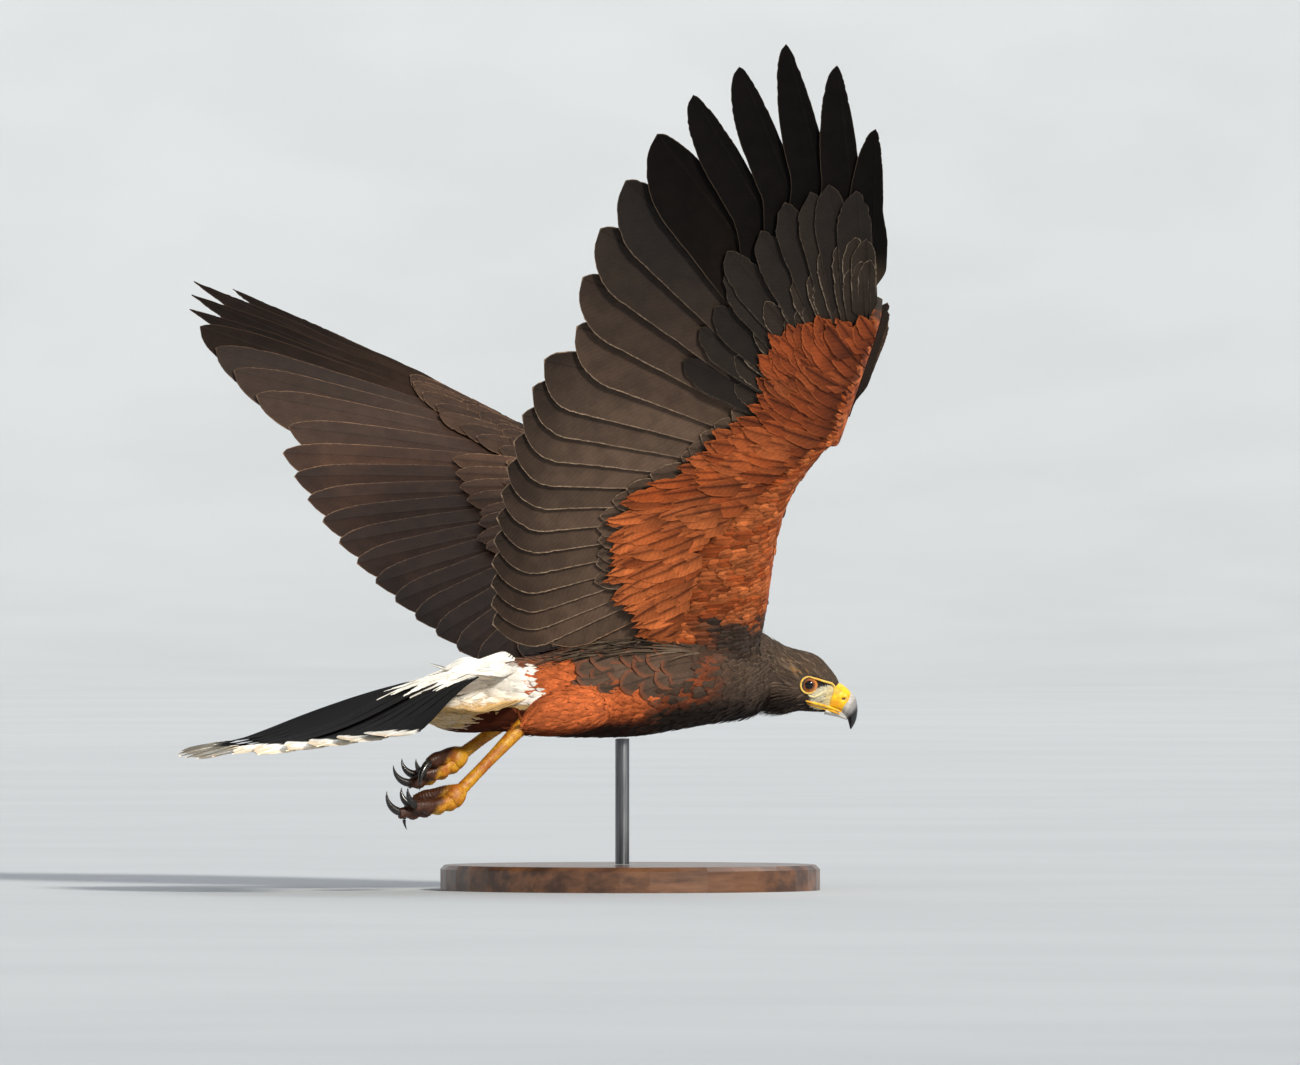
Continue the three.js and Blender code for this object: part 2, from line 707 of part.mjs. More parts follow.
function mirrored(chart) {
  return (u, v, height) => chart(u, -v, height);
}

// Both halves of a fan: the inner feathers lie over the outer ones
function fan(chart, count, featherAt) {
  const vanes = [];
  for (let k = 0; k < count; k++) {
    for (const side of [1, -1]) {
      vanes.push(vane(side > 0 ? chart : mirrored(chart), featherAt(k, (k + 0.5) / count, side)));
    }
  }
  return vanes;
}

function tailFeather(k, t, side) {
  const middle = k === 0;
  return {
    u: -3, v: 1.2 + 2 * k, angle: TAIL_SPREAD * t,
    length: lerp(TAIL_LENGTH, TAIL_OUTER_LENGTH, t * t), lead: middle ? 19 : 24, trail: 15,
    height: middle ? 1.9 - 0.5 * side : 0, tilt: middle ? 0 : -LOUVRE, quill: 0.1,
  };
}

const TAIL_COVERT_STEPS = [0.5, 0.84, 1];

function upperTailCovert(k, t, side) {
  return {
    u: 19, v: 2 + 5.2 * k, angle: 26 * t, length: 60 - 12 * t, lead: 9, trail: 8,
    height: k === 0 ? 1.2 + 0.5 * side : 0, tilt: k === 0 ? 0 : -9, thick: COVERT,
    steps: TAIL_COVERT_STEPS, quill: 0.15,
  };
}

function lowerTailCovert(k, t, side) {
  return {
    u: 16, v: 2.5 + 4.6 * k, angle: 18 * t, length: 80 - 16 * t, lead: 9, trail: 8,
    height: k === 0 ? -1.2 - 0.5 * side : 0, tilt: k === 0 ? 0 : 9, thick: COVERT,
    steps: TAIL_COVERT_STEPS, quill: 0.3,
  };
}

// Rounded lengths: place back, height of the middle, half width, half depth
const TAIL_CORE = [[-138, 151.7, 14, 3.5], [-134, 152.9, 16, 4.4], [-127, 155, 16, 4.6],
  [-120 - GAP, 156.6, 13, 3.6]];
const UNDERTAIL = [[-157, 123.5, 6, 5], [-152, 124, 11, 9], [-140, 125, 15, 13.4],
  [-127, 127, 17, 16.5], [-116, 128, 16, 17]];
const levelOval = ([x, z, half, deep]) => (
  oval(vec(x, 0, z), axes(0, 0), half, deep, deep, 14));

function buildTail() {
  const feathers = fan(tailChart, TAIL_PAIRS, tailFeather);
  addMesh('tail', largest(fuse([loft(TAIL_CORE.map(levelOval)), ...feathers])), 'black');
  const coverts = [
    bodyPiece(0, SPINE_TORSO, 3, 0, 16),
    loft(UNDERTAIL.map(levelOval)),
    ...fan(upperCovertChart, 4, upperTailCovert),
    ...fan(lowerCovertChart, 3, lowerTailCovert),
  ];
  addMesh('tail_coverts', largest(fuse(coverts)), 'white');
}

// Legs

// A curved digit: it starts along a direction and turns upwards (curl > 0) or downwards
function digitPath(start, direction, curl, length, count) {
  const points = [start.clone()];
  const aside = direction.clone().cross(vec(0, 0, 1)).normalize();
  const heading = direction.clone().normalize();
  const place = start.clone();
  for (let i = 1; i < count; i++) {
    heading.applyAxisAngle(aside, rad(curl) / (count - 1));
    place.addScaledVector(heading, length / (count - 1));
    points.push(place.clone());
  }
  return { points, heading };
}

const DIGITS = [
  { name: 'inner', spread: -15, drop: 0, scale: 0.82, curl: 26 },
  { name: 'middle', spread: -1, drop: 3, scale: 1.08, curl: 22 },
  { name: 'outer', spread: 13, drop: 0, scale: 0.88, curl: 26 },
];

function toesOf(leg) {
  const toes = DIGITS.map((digit) => {
    const level = rad(leg.toes + digit.drop);
    const turn = rad(digit.spread) * leg.side;
    const direction = vec(
      -Math.cos(level) * Math.cos(turn), Math.cos(level) * Math.sin(turn), -Math.sin(level));
    return { ...digit, direction, length: leg.toeLength * digit.scale, rise: -2, clawCurl: 95 };
  });
  const level = rad(leg.hind);
  toes.push({
    name: 'hind', curl: -14, scale: 1.3, length: HIND_LENGTH, rise: 3, clawCurl: leg.hindCurl,
    direction: vec(-Math.cos(level), -0.45 * leg.side, -Math.sin(level)).normalize(),
  });
  return toes;
}

function buildLeg(name, leg) {
  const ankle = vec(...leg.ankle);
  const foot = vec(...leg.foot);
  const hip = vec(HIP[0], leg.side * HIP[1], HIP[2]);
  const shank = foot.clone().sub(ankle).normalize();
  const knee = hip.clone().lerp(ankle, 0.5).add(vec(-4, leg.side * 4, 2));
  const inside = hip.clone().add(vec(22, -leg.side * 9, 4));
  const thigh = limb([inside, hip, knee, ankle], THIGH, 12, 6).subtract(bodyRoom);
  addMesh(`thigh_${name}`, largest(thigh), 'rufous');
  const thighEnd = ankle.clone().add(ankle.clone().sub(knee).setLength(GAP));
  const thighRoom = limb([inside, hip, knee, thighEnd], THIGH.map((r) => r + GAP), 12, 6);
  const tarsusStart = ankle.clone().addScaledVector(shank, -5);
  const tarsusEnd = foot.clone().addScaledVector(shank, -FOOT_NECK - GAP);
  const shin = tarsusStart.clone().lerp(tarsusEnd, 0.5);
  const tarsus = limb([tarsusStart, shin, tarsusEnd], [6.2, 4.6, 5.2], 10, 5);
  const shown = tarsus.subtract(thighRoom).subtract(bodyRoom);
  addMesh(`tarsus_${name}`, largest(shown), 'yellow');

  const pieces = [limb(
    [foot.clone().addScaledVector(shank, -FOOT_NECK), foot, foot.clone().addScaledVector(shank, 6)],
    [5.4, 7, 5], 8, 3,
  )];
  const clawRooms = [];
  for (const toe of toesOf(leg)) {
    const start = foot.clone().add(vec(0, 0, toe.rise));
    const { points, heading } = digitPath(start, toe.direction, toe.curl, toe.length, 5);
    pieces.push(limb(points, [4.6, 4.3, 3.6, 3.9, 3.1], 6, 4));
    const base = points[4].clone().addScaledVector(heading, -CLAW_ROOT);
    const claw = digitPath(base, heading, toe.clawCurl, CLAW_LENGTH * toe.scale, 7);
    const radii = [2.3, 2.4, 2.2, 1.8, 1.4, 0.9, 0.3];
    addMesh(`claw_${name}_${toe.name}`, limb(claw.points, radii, 6, 5), 'claw');
    const room = [base.clone().addScaledVector(heading, -GAP), ...claw.points.slice(1)];
    clawRooms.push(limb(room.slice(0, 4), radii.slice(0, 4).map((r) => r + GAP), 6, 3));
  }
  addMesh(`foot_${name}`, largest(fuse(pieces).subtract(fuse(clawRooms))), 'yellow');
}

// Stand

function buildStand() {
  const profile = [
    [0, 0], [BASE_RADIUS, 0], [BASE_RADIUS, BASE_HEIGHT - BASE_EDGE],
    [BASE_RADIUS - BASE_EDGE, BASE_HEIGHT], [0, BASE_HEIGHT],
  ].map(([x, y]) => new THREE.Vector2(x, y));
  const upright = new THREE.Matrix4().makeRotationX(Math.PI / 2);
  const base = solidFromGeometry(new THREE.LatheGeometry(profile, 40), upright);
  addMesh('stand_base', base, 'wood');
  const foot = BASE_HEIGHT + GAP;
  const rod = new THREE.CylinderGeometry(ROD_RADIUS, ROD_RADIUS, ROD_TOP - foot, 20);
  const place = new THREE.Matrix4().makeTranslation(ROD_X, 0, (ROD_TOP + foot) / 2);
  const post = solidFromGeometry(rod, place.multiply(upright));
  addMesh('stand_rod', largest(post.subtract(bodyRoom)), 'steel');
}

buildHead();
addMesh('torso', torso, 'rufous');
addMesh('neck', neck, 'dark');
for (const [name, wing] of Object.entries(WINGS)) buildWing(name, wing);
buildTail();
for (const [name, leg] of Object.entries(LEGS)) buildLeg(name, leg);
buildStand();

export default model;
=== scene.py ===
"""Harris hawk in flight on a display stand: one feathered skin, flight feathers, head, feet."""
import math
import bpy
import numpy as np
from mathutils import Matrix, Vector
from mathutils.bvhtree import BVHTree
from mathutils.kdtree import KDTree


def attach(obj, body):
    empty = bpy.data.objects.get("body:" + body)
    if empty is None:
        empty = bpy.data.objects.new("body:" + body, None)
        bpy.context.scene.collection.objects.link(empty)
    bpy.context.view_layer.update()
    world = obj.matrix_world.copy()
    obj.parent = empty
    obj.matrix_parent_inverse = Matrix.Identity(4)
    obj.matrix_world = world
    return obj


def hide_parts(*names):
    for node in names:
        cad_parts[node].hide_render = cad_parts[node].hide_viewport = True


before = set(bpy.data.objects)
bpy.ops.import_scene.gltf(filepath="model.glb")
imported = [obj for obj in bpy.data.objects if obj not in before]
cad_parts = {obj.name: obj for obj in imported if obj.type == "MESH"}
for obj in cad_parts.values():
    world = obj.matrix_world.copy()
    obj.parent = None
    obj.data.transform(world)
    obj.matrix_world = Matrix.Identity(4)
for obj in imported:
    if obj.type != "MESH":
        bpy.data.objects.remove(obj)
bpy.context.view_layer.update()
MM = 0.001
TURN = 6.283  # a whole turn in the shaders' sine waves

# The model's own sizes, in millimetres and degrees. The solids have the same ones, but for
# the toes of the right foot.
# Body, from rump to neck: the middle (x, y, z), half the width, how far it rises above and
# drops below the middle, and which way the section faces (turn, pitch)
BODY = [
    (-120, 0, 143, 17, 22, 31, 0, 0), (-97, 0, 144, 27, 22, 33, 0, 0),
    (-66, 0, 142, 36, 27, 34, 0, 0), (-30, 0, 144, 43, 37, 37, 0, 0),
    (5, 0, 148, 47, 40, 40, 0, 0), (40, 0, 152, 47, 38, 39, 0, 0),
    (72, 0, 154, 42, 35, 36, 2, 2), (96, 0, 154, 34, 31, 33, 11, 8),
    (112.6, -0.8, 152.6, 24.5, 23, 27.5, 24, 20),
]
HEAD_AT = (128.5, -7.8, 142)
HEAD_TURN, HEAD_PITCH = 24, 20
# Head, from nape to bill: how far forward, the middle's height, half the width, rise, drop
HEAD = [
    (-20, 4, 24.5, 23, 27.5), (-8, 4.5, 22.5, 23.5, 24.5), (4, 5, 19.5, 22.5, 20),
    (14, 4, 16.5, 18.8, 16), (21, 3, 12.5, 15.3, 12.8), (25, 2.2, 9.8, 12.4, 11),
]
EYE = (5.3, 13, 5.6)  # forward, aside and up from the head's middle
EYE_RADIUS = 7
SHOULDER = (72, 38, 179)
HUMERUS, ULNA, HAND = 98, 112, 90
# Wings: how each is raised, twisted and swept, which way its bones point, the angles of the
# first and tenth primary and the last secondary, and how its vanes crowd, stack and reach
WINGS = {
    "right": dict(side=-1, raised=59.5, twist=10.7, sweep=0.8, humerus=27, forearm=-38.9,
                  hand=-7.4, tenth=7.6, first=71.9, last=122.1, crowding=1, stack=0.4,
                  hollow=19, reach=0.965),
    "left": dict(side=1, raised=36.1, twist=1.4, sweep=6, humerus=20.4, forearm=-22.2,
                 hand=33.8, tenth=34.7, first=67.4, last=124.6, crowding=0.7, stack=2.9,
                 hollow=-8, reach=1.03),
}
PRIMARIES = [216, 232, 243, 252, 260, 264, 260, 256, 222, 160]  # lengths, innermost first
FIRST_FINGER = 5  # from this primary on, counted from 0, the vanes are cut into fingers
PRIMARY_TIPS = [0.82, 0.82, 0.82, 0.82, 0.78, 0.76, 0.74, 0.68, 0.66, 0.62]
SECONDARY_FIRST, SECONDARY_LAST, SECONDARIES = 226, 178, 12
TERTIALS = 5
TAIL_ROOT = (-127, 0, 155)
TAIL_SLOPE, TAIL_TURN, TAIL_SAG = 16.5, 9, 7
TAIL_SPREAD, TAIL_LENGTH, TAIL_OUTER = 40.7, 215, 206
LEGS = {
    "right": dict(side=-1, ankle=(-99.5, -30, 114.5), foot=(-149, -30, 67.5), toes=23,
                  hind=2, toe=40, hind_curl=-95),
    "left": dict(side=1, ankle=(-86, 27, 119), foot=(-123, 27, 93.7), toes=34,
                 hind=2, toe=37, hind_curl=-75),
}
HIP = (-46, 30, 131)
HIND_TOE, CLAW = 29, 20


# Numbers and vectors

draws = np.random.default_rng


def smooth(x, low, high):
    t = np.clip((x - low) / (high - low), 0, 1)
    return t * t * (3 - 2 * t)


def mix(a, b, t):
    return a + (b - a) * t


def unit(v):
    v = np.asarray(v, float)
    return v / np.maximum(np.linalg.norm(v, axis=-1, keepdims=True), 1e-9)


def dot(a, b):
    return (np.asarray(a) * np.asarray(b)).sum(-1)


def spline(rows, places):
    """Points on a smooth curve through rows that are one step apart."""
    rows = np.asarray(rows, float)
    places = np.atleast_1d(np.asarray(places, float))
    padded = np.vstack([2 * rows[0] - rows[1], rows, 2 * rows[-1] - rows[-2]])
    i = np.clip(np.floor(places).astype(int), 0, len(rows) - 2)
    t = (places - i)[:, None]
    a, b, c, d = padded[i], padded[i + 1], padded[i + 2], padded[i + 3]
    return 0.5 * (2 * b + (c - a) * t + (2 * a - 5 * b + 4 * c - d) * t ** 2
                  + (3 * b - 3 * c + d - a) * t ** 3)


def through(rows, count):
    return spline(rows, np.linspace(0, len(rows) - 1, count))


def turn_about(v, axis, degrees):
    angle = math.radians(degrees)
    v, axis = np.asarray(v, float), unit(axis)
    return (v * math.cos(angle) + np.cross(axis, v) * math.sin(angle)
            + axis * dot(v, axis) * (1 - math.cos(angle)))


def axes(turn, pitch):
    a, b = math.radians(turn), math.radians(pitch)
    forward = np.array([math.cos(a) * math.cos(b), -math.sin(a) * math.cos(b), -math.sin(b)])
    left = np.array([math.sin(a), math.cos(a), 0])
    return forward, left, np.cross(forward, left)


def srgb(*channels):
    """A display colour, 0 to 255, as linear light."""
    c = np.array(channels, float) / 255
    return np.where(c < 0.04045, c / 12.92, ((c + 0.055) / 1.055) ** 2.4)


# Shaders

class Value:
    """A socket in a material's tree, so that shader maths reads as maths."""

    def __init__(self, paint, socket):
        self.paint, self.socket = paint, socket

    def _with(self, operation, first, second):
        return self.paint.node("ShaderNodeMath", {"operation": operation},
                               {0: first, 1: second})

    def __add__(self, other):
        return self._with("ADD", self, other)

    def __radd__(self, other):
        return self._with("ADD", other, self)

    def __sub__(self, other):
        return self._with("SUBTRACT", self, other)

    def __rsub__(self, other):
        return self._with("SUBTRACT", other, self)

    def __mul__(self, other):
        return self._with("MULTIPLY", self, other)

    def __rmul__(self, other):
        return self._with("MULTIPLY", other, self)

    def __abs__(self):
        return self._with("ABSOLUTE", self, 0.0)

    def sine(self):
        return self.paint.node("ShaderNodeMath", {"operation": "SINE"}, {0: self})

    def ramp(self, low, high, start=0.0, end=1.0):
        """start below low, end above high, and a smooth step between."""
        return self.paint.node(
            "ShaderNodeMapRange", {"interpolation_type": "SMOOTHSTEP"},
            {"Value": self, "From Min": low, "From Max": high, "To Min": start, "To Max": end})


class Paint:
    """A material under construction."""

    def __init__(self, name):
        self.material = bpy.data.materials.new(name)
        self.material.use_nodes = True
        self.tree = self.material.node_tree
        self.tree.nodes.clear()

    def node(self, kind, settings=None, sockets=None, out=0):
        made = self.tree.nodes.new(kind)
        for key, value in (settings or {}).items():
            setattr(made, key, value)
        for key, value in (sockets or {}).items():
            if isinstance(value, Value):
                self.tree.links.new(value.socket, made.inputs[key])
            else:
                made.inputs[key].default_value = value
        return Value(self, made.outputs[out])

    def field(self, name, out="Fac"):
        return self.node("ShaderNodeAttribute", {"attribute_name": name}, out=out)

    def place(self):
        return self.node("ShaderNodeTexCoord", out="Object")

    def noise(self, scale, detail=3.0, roughness=0.55, stretch=None):
        at = self.place()
        if stretch:
            at = self.node("ShaderNodeMapping", {}, {"Vector": at, "Scale": stretch})
        return self.node("ShaderNodeTexNoise", {}, {
            "Vector": at, "Scale": scale, "Detail": detail, "Roughness": roughness})

    def cells(self, scale):
        """Distance from the middle of the nearest of many small cells."""
        return self.node("ShaderNodeTexVoronoi", {"feature": "F1"}, {
            "Vector": self.place(), "Scale": scale, "Randomness": 1.0}, out="Distance")

    def blend(self, factor, first, second):
        """A mix of two colours."""
        made = self.tree.nodes.new("ShaderNodeMix")
        made.data_type, made.blend_type = "RGBA", "MIX"
        for index, value in ((0, factor), (6, first), (7, second)):
            if isinstance(value, Value):
                self.tree.links.new(value.socket, made.inputs[index])
            elif index == 0:
                made.inputs[index].default_value = value
            else:
                made.inputs[index].default_value = (*value, 1)
        return Value(self, made.outputs[2])

    def tone(self, colour, gain):
        """A colour times a plain number that varies."""
        grey = self.node("ShaderNodeCombineXYZ", {}, {"X": gain, "Y": gain, "Z": gain})
        return self.node("ShaderNodeVectorMath", {"operation": "MULTIPLY"},
                         {0: colour, 1: grey})

    def bump(self, height, strength, distance):
        """Relief: distance, in metres, is how high a height of 1 stands."""
        return self.node("ShaderNodeBump", {}, {
            "Height": height, "Strength": strength, "Distance": distance}, out="Normal")

    def finish(self, colour, roughness, normal=None, **constants):
        """The finished material; constants are plain numbers for the shader's own sockets."""
        sockets = {"Base Color": colour, "Roughness": roughness}
        if normal:
            sockets["Normal"] = normal
        sockets.update({key.replace("_", " "): value for key, value in constants.items()})
        shader = self.node("ShaderNodeBsdfPrincipled", {}, sockets, out="BSDF")
        output = self.tree.nodes.new("ShaderNodeOutputMaterial")
        self.tree.links.new(shader.socket, output.inputs["Surface"])
        return self.material


BARB_SLOPE = 1.15  # how far barbs run on towards the tip, for each millimetre from the shaft
LOCK = 4.3  # millimetres from one lock of barbs to the next
LOCK_SHARE = 0.3  # how strong the locks are beside the barbs' own streaks
BARB_RELIEF = 0.0005


def plumage(name, rim, barb, relief=0.5, rough=0.8, streak=0.3, shaft=0.0, vary=0.16,
            broken=0.0, shine=0.2):
    """Feather: its tint, barbs that are barb millimetres apart, a shaft, and a fringe that is
    rim millimetres wide."""
    p = Paint(name)
    along, across, edge = p.field("along"), p.field("across"), p.field("edge")
    shade = p.field("shade")
    cloud = p.noise(75.0, 3.0, 0.6)
    slant = along - abs(across) * BARB_SLOPE + cloud * 6.0
    barbs = (slant * (TURN / barb)).sine()
    fine = p.noise(1500.0, 2.0, 0.6)
    locks = (slant * (TURN / LOCK) + p.noise(210.0, 2.0) * 7.0).sine()
    strands = (barbs * 0.5 + 0.5) * 0.55 + fine * 0.45
    gain = strands.ramp(0.1, 0.9, 1 - streak, 1 + streak)
    body = gain * shade.ramp(0.0, 1.0, 1 - vary, 1 + vary) * cloud.ramp(0.32, 0.68, 0.84, 1.16)
    body = body * (locks * (LOCK_SHARE * streak) + 1)
    if shaft:
        body = body * abs(across).ramp(0.3, 1.1, 1 - shaft, 1.0)
    ragged = edge + (fine - 0.5) * (rim * 1.1) + (cloud - 0.5) * (rim * 0.8)
    mask = ragged.ramp(0.2 * rim, rim, 1.0, 0.0) * p.field("rim")
    if broken:
        mask = mask * p.noise(330.0, 2.0).ramp(0.42, 0.6, 1 - broken, 1.0)
    colour = p.blend(mask, p.tone(p.field("tint", "Color"), body),
                     p.tone(p.field("fringe", "Color"), gain))
    normal = p.bump(strands, relief, BARB_RELIEF)
    return p.finish(colour, strands.ramp(0, 1, rough + 0.08, rough - 0.1), normal,
                    Specular_IOR_Level=shine)


# Meshes

def piece(name, material, replaced, mesh, fields=None, uv=None, sharp=None,
          normals=None):
    """A finished object that rides on the model. fields are numbers or colours for each of
    the mesh's points, and sharp is the angle from which an edge stays an edge."""
    thing = bpy.data.objects.new(name, mesh)
    bpy.context.scene.collection.objects.link(thing)
    mesh.materials.append(material)
    for key, values in (fields or {}).items():
        values = np.asarray(values, np.float32)
        if values.ndim == 1:
            mesh.attributes.new(key, "FLOAT", "POINT").data.foreach_set("value", values)
        else:
            rgba = np.ones((len(values), 4), np.float32)
            rgba[:, :3] = values
            mesh.attributes.new(key, "FLOAT_COLOR", "POINT").data.foreach_set(
                "color", rgba.ravel())
    if uv is not None:
        corner = np.zeros(len(mesh.loops), np.int32)
        mesh.loops.foreach_get("vertex_index", corner)
        layer = mesh.uv_layers.new(name="OFBake")
        layer.data.foreach_set("uv", np.asarray(uv, np.float32)[corner].ravel())
    mesh.polygons.foreach_set("use_smooth", np.ones(len(mesh.polygons), bool))
    if sharp:
        mesh.set_sharp_from_angle(angle=math.radians(sharp))
    if normals is not None:
        mesh.normals_split_custom_set_from_vertices(normals)
    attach(thing, "root")
    if replaced:
        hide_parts(*replaced)


def read(items, key, width, kind=np.float32):
    """A mesh's own numbers as rows of an array."""
    values = np.empty(len(items) * width, kind)
    items.foreach_get(key, values)
    return values.reshape(-1, width)


def volume(points, faces):
    """Six times what closed faces hold: it is negative where they point inward."""
    corners = [points[faces[:, k]] for k in range(faces.shape[1])]
    return sum((corners[0] * np.cross(b, c)).sum() for b, c in zip(corners[1:], corners[2:]))


def quad_mesh(name, points, quads):
    """A mesh from millimetre points and an array of quads, with its faces turned outward."""
    points = np.asarray(points, float)
    if volume(points, quads) < 0:
        quads = quads[:, ::-1]
    mesh = bpy.data.meshes.new(name)
    mesh.vertices.add(len(points))
    mesh.vertices.foreach_set("co", (points * MM).astype(np.float32).ravel())
    mesh.loops.add(quads.size)
    mesh.loops.foreach_set("vertex_index", quads.astype(np.int32).ravel())
    mesh.polygons.add(len(quads))
    mesh.polygons.foreach_set("loop_start", np.arange(0, quads.size, 4, dtype=np.int32))
    mesh.update(calc_edges=True)
    mesh.validate()
    return mesh


def list_mesh(name, points, faces):
    mesh = bpy.data.meshes.new(name)
    mesh.from_pydata([tuple(p) for p in np.asarray(points) * MM], [], faces)
    mesh.update()
    return mesh


def tube_faces(rings, sides):
    """Faces of a closed tube of rings, with one many-sided face at each end."""
    faces = []
    for i in range(rings - 1):
        for j in range(sides):
            a, b = i * sides + j, i * sides + (j + 1) % sides
            faces.append((a, b, b + sides, a + sides))
    faces.append(tuple(reversed(range(sides))))
    faces.append(tuple((rings - 1) * sides + j for j in range(sides)))
    return faces


def thin_walls(stations, around):
    """Quads of flat tubes: the lower face is cut along the same diagonals as the upper."""
    i, j = np.meshgrid(np.arange(stations - 1), np.arange(around), indexing="ij")
    k = (j + 1) % around
    quads = np.stack([i * around + j, i * around + k, (i + 1) * around + k,
                      (i + 1) * around + j], -1)
    half = around // 2
    quads[:, half:] = np.roll(quads[:, half:], -1, axis=2)
    return quads.reshape(-1, 4)


class Lofts:
    """Closed tubes collected into one mesh."""

    def __init__(self):
        self.points, self.faces, self.labels = [], [], []

    def add(self, rings, label=""):
        rings = np.asarray(rings, float)
        count, sides = rings.shape[:2]
        start = sum(len(p) for p in self.points)
        flat_points = rings.reshape(-1, 3)
        faces = tube_faces(count, sides)
        walls = volume(flat_points, np.array(faces[:-2]))
        ends = sum(volume(flat_points, np.array([face])) for face in faces[-2:])
        order = 1 if walls + ends > 0 else -1
        self.faces += [tuple(start + k for k in face[::order]) for face in faces]
        self.points.append(flat_points)
        self.labels += [label] * (count * sides)

    def mesh(self, name):
        return list_mesh(name, np.vstack(self.points), self.faces)


def joined(name, *tubes):
    """One mesh of one or more closed tubes."""
    lofts = Lofts()
    for rings in tubes:
        lofts.add(rings)
    return lofts.mesh(name)


def oval(middle, left, up, half, rise, drop, sides):
    turn = np.linspace(0, 2 * np.pi, sides, endpoint=False)
    height = np.sin(turn)
    height = np.where(height > 0, rise * height, drop * height)
    return np.asarray(middle) + np.outer(half * np.cos(turn), left) + np.outer(height, up)


def sweep(points, radii, sides, steps, up=(0, 0, 1), shape=None):
    """Rings along a curve; shape(s, turn) gives what to add to the radius, with s in
    millimetres along and turn 0 on the upper side."""
    table = through([(*p, r) for p, r in zip(points, radii)], steps)
    path, radius = table[:, :3], table[:, 3]
    ahead = unit(np.gradient(path, axis=0))
    side = unit(np.cross(ahead, np.asarray(up, float)))
    top = np.cross(side, ahead)
    run = np.concatenate([[0], np.cumsum(np.linalg.norm(np.diff(path, axis=0), axis=1))])
    turn = np.linspace(0, 2 * np.pi, sides, endpoint=False)
    extra = np.zeros((steps, sides)) if shape is None else shape(run[:, None], turn[None, :])
    size = (radius[:, None] + extra)[..., None]
    return (path[:, None] + size * (np.cos(turn)[None, :, None] * top[:, None]
                                    + np.sin(turn)[None, :, None] * side[:, None]))


# Charts: places on a wing or the tail, out along it (u), back across it (v) and above it

SAG, SAG_FROM = 3.2e-4, 30  # the wing's sheet bends down behind its bones
UPTURN, UPTURN_FROM = 3.5e-4, 270  # and up towards its tip


def wing_chart(w):
    """The chart, its inverse, and its directions out, back and up."""
    raised, twist, sweep_ = (math.radians(w[k]) for k in ("raised", "twist", "sweep"))
    back = np.array([-1.0, 0, 0])
    out = np.array([0, w["side"] * math.cos(raised), math.sin(raised)])
    above = np.array([0, -w["side"] * math.sin(raised), math.cos(raised)])
    rear = back * math.cos(twist) + above * math.sin(twist)
    normal = above * math.cos(twist) - back * math.sin(twist)
    v_axis = rear * math.cos(sweep_) - out * math.sin(sweep_)
    u_axis = out * math.cos(sweep_) + rear * math.sin(sweep_)
    shoulder = np.array([SHOULDER[0], w["side"] * SHOULDER[1], SHOULDER[2]])

    def chart(u, v, height):
        height = height - SAG * np.maximum(0, v - SAG_FROM) ** 2
        height = height + UPTURN * np.maximum(0, u - UPTURN_FROM) ** 2
        return (shoulder + u[..., None] * u_axis + v[..., None] * v_axis
                + height[..., None] * normal)

    def unchart(points):
        d = points - shoulder
        return d @ u_axis, d @ v_axis, d @ normal
    return chart, unchart, u_axis, v_axis, normal


def tail_chart(u, v, height):
    """u is back from the tail's root, and v aside; the tail hangs a little in its middle."""
    slope, turn = math.radians(TAIL_SLOPE), math.radians(TAIL_TURN)
    back = u * math.cos(turn) + v * math.sin(turn)
    aside = v * math.cos(turn) - u * math.sin(turn)
    raised = height - TAIL_SAG * np.sin(np.pi * np.clip((u - 30) / 190, 0, 1)) ** 2
    return np.stack([
        TAIL_ROOT[0] - back * math.cos(slope) - raised * math.sin(slope),
        TAIL_ROOT[1] + aside,
        TAIL_ROOT[2] - back * math.sin(slope) + raised * math.cos(slope)], -1)


def step(start, angle, length):
    """The place on a chart that lies length from start, at angle degrees from straight out."""
    a = math.radians(angle)
    return np.array(start, float) + length * np.array([math.cos(a), math.sin(a)])


def joints(w):
    """The wing's joints and the tip of its flesh, on its chart."""
    shoulder = np.zeros(2)
    elbow = step(shoulder, w["humerus"], HUMERUS)
    wrist = step(elbow, w["forearm"], ULNA)
    return dict(shoulder=shoulder, elbow=elbow, wrist=wrist, tip=step(wrist, w["hand"], HAND))


head_forward, head_left, head_up = axes(HEAD_TURN, HEAD_PITCH)


def head_at(forward, left, up):
    """A point from places in the head's own directions."""
    shape = np.broadcast(forward, left, up).shape
    f, l, u = (np.broadcast_to(np.asarray(x, float), shape)[..., None]
               for x in (forward, left, up))
    return np.array(HEAD_AT) + f * head_forward + l * head_left + u * head_up


def head_place(points):
    """Places of points forward, left and up from the head's middle."""
    d = points - np.array(HEAD_AT)
    return d @ head_forward, d @ head_left, d @ head_up


# The skin: one closed surface under all feathers

COAT = 2.2  # how far the skin lies under the solids' surface
FACE_COAT = 0.7
PIECE_LIMIT = 180000  # triangles in one piece of the coat
VOXEL = 0.00155  # metres: the grain at which the skin is joined


def body_rings():
    rings = []
    for x, y, z, half, rise, drop, turn, pitch in through(BODY, 46):
        _, left, up = axes(turn, pitch)
        rings.append(oval((x, y, z), left, up, half - COAT, rise - COAT, drop - COAT, 48))
    return rings


def head_rings():
    rings = []
    for forward, height, half, rise, drop in through(HEAD, 24):
        inset = mix(COAT, FACE_COAT, float(smooth(forward, -14, 6)))
        rings.append(oval(head_at(forward, 0, height), head_left, head_up, half - inset,
                          rise - inset, drop - inset, 40))
    return rings


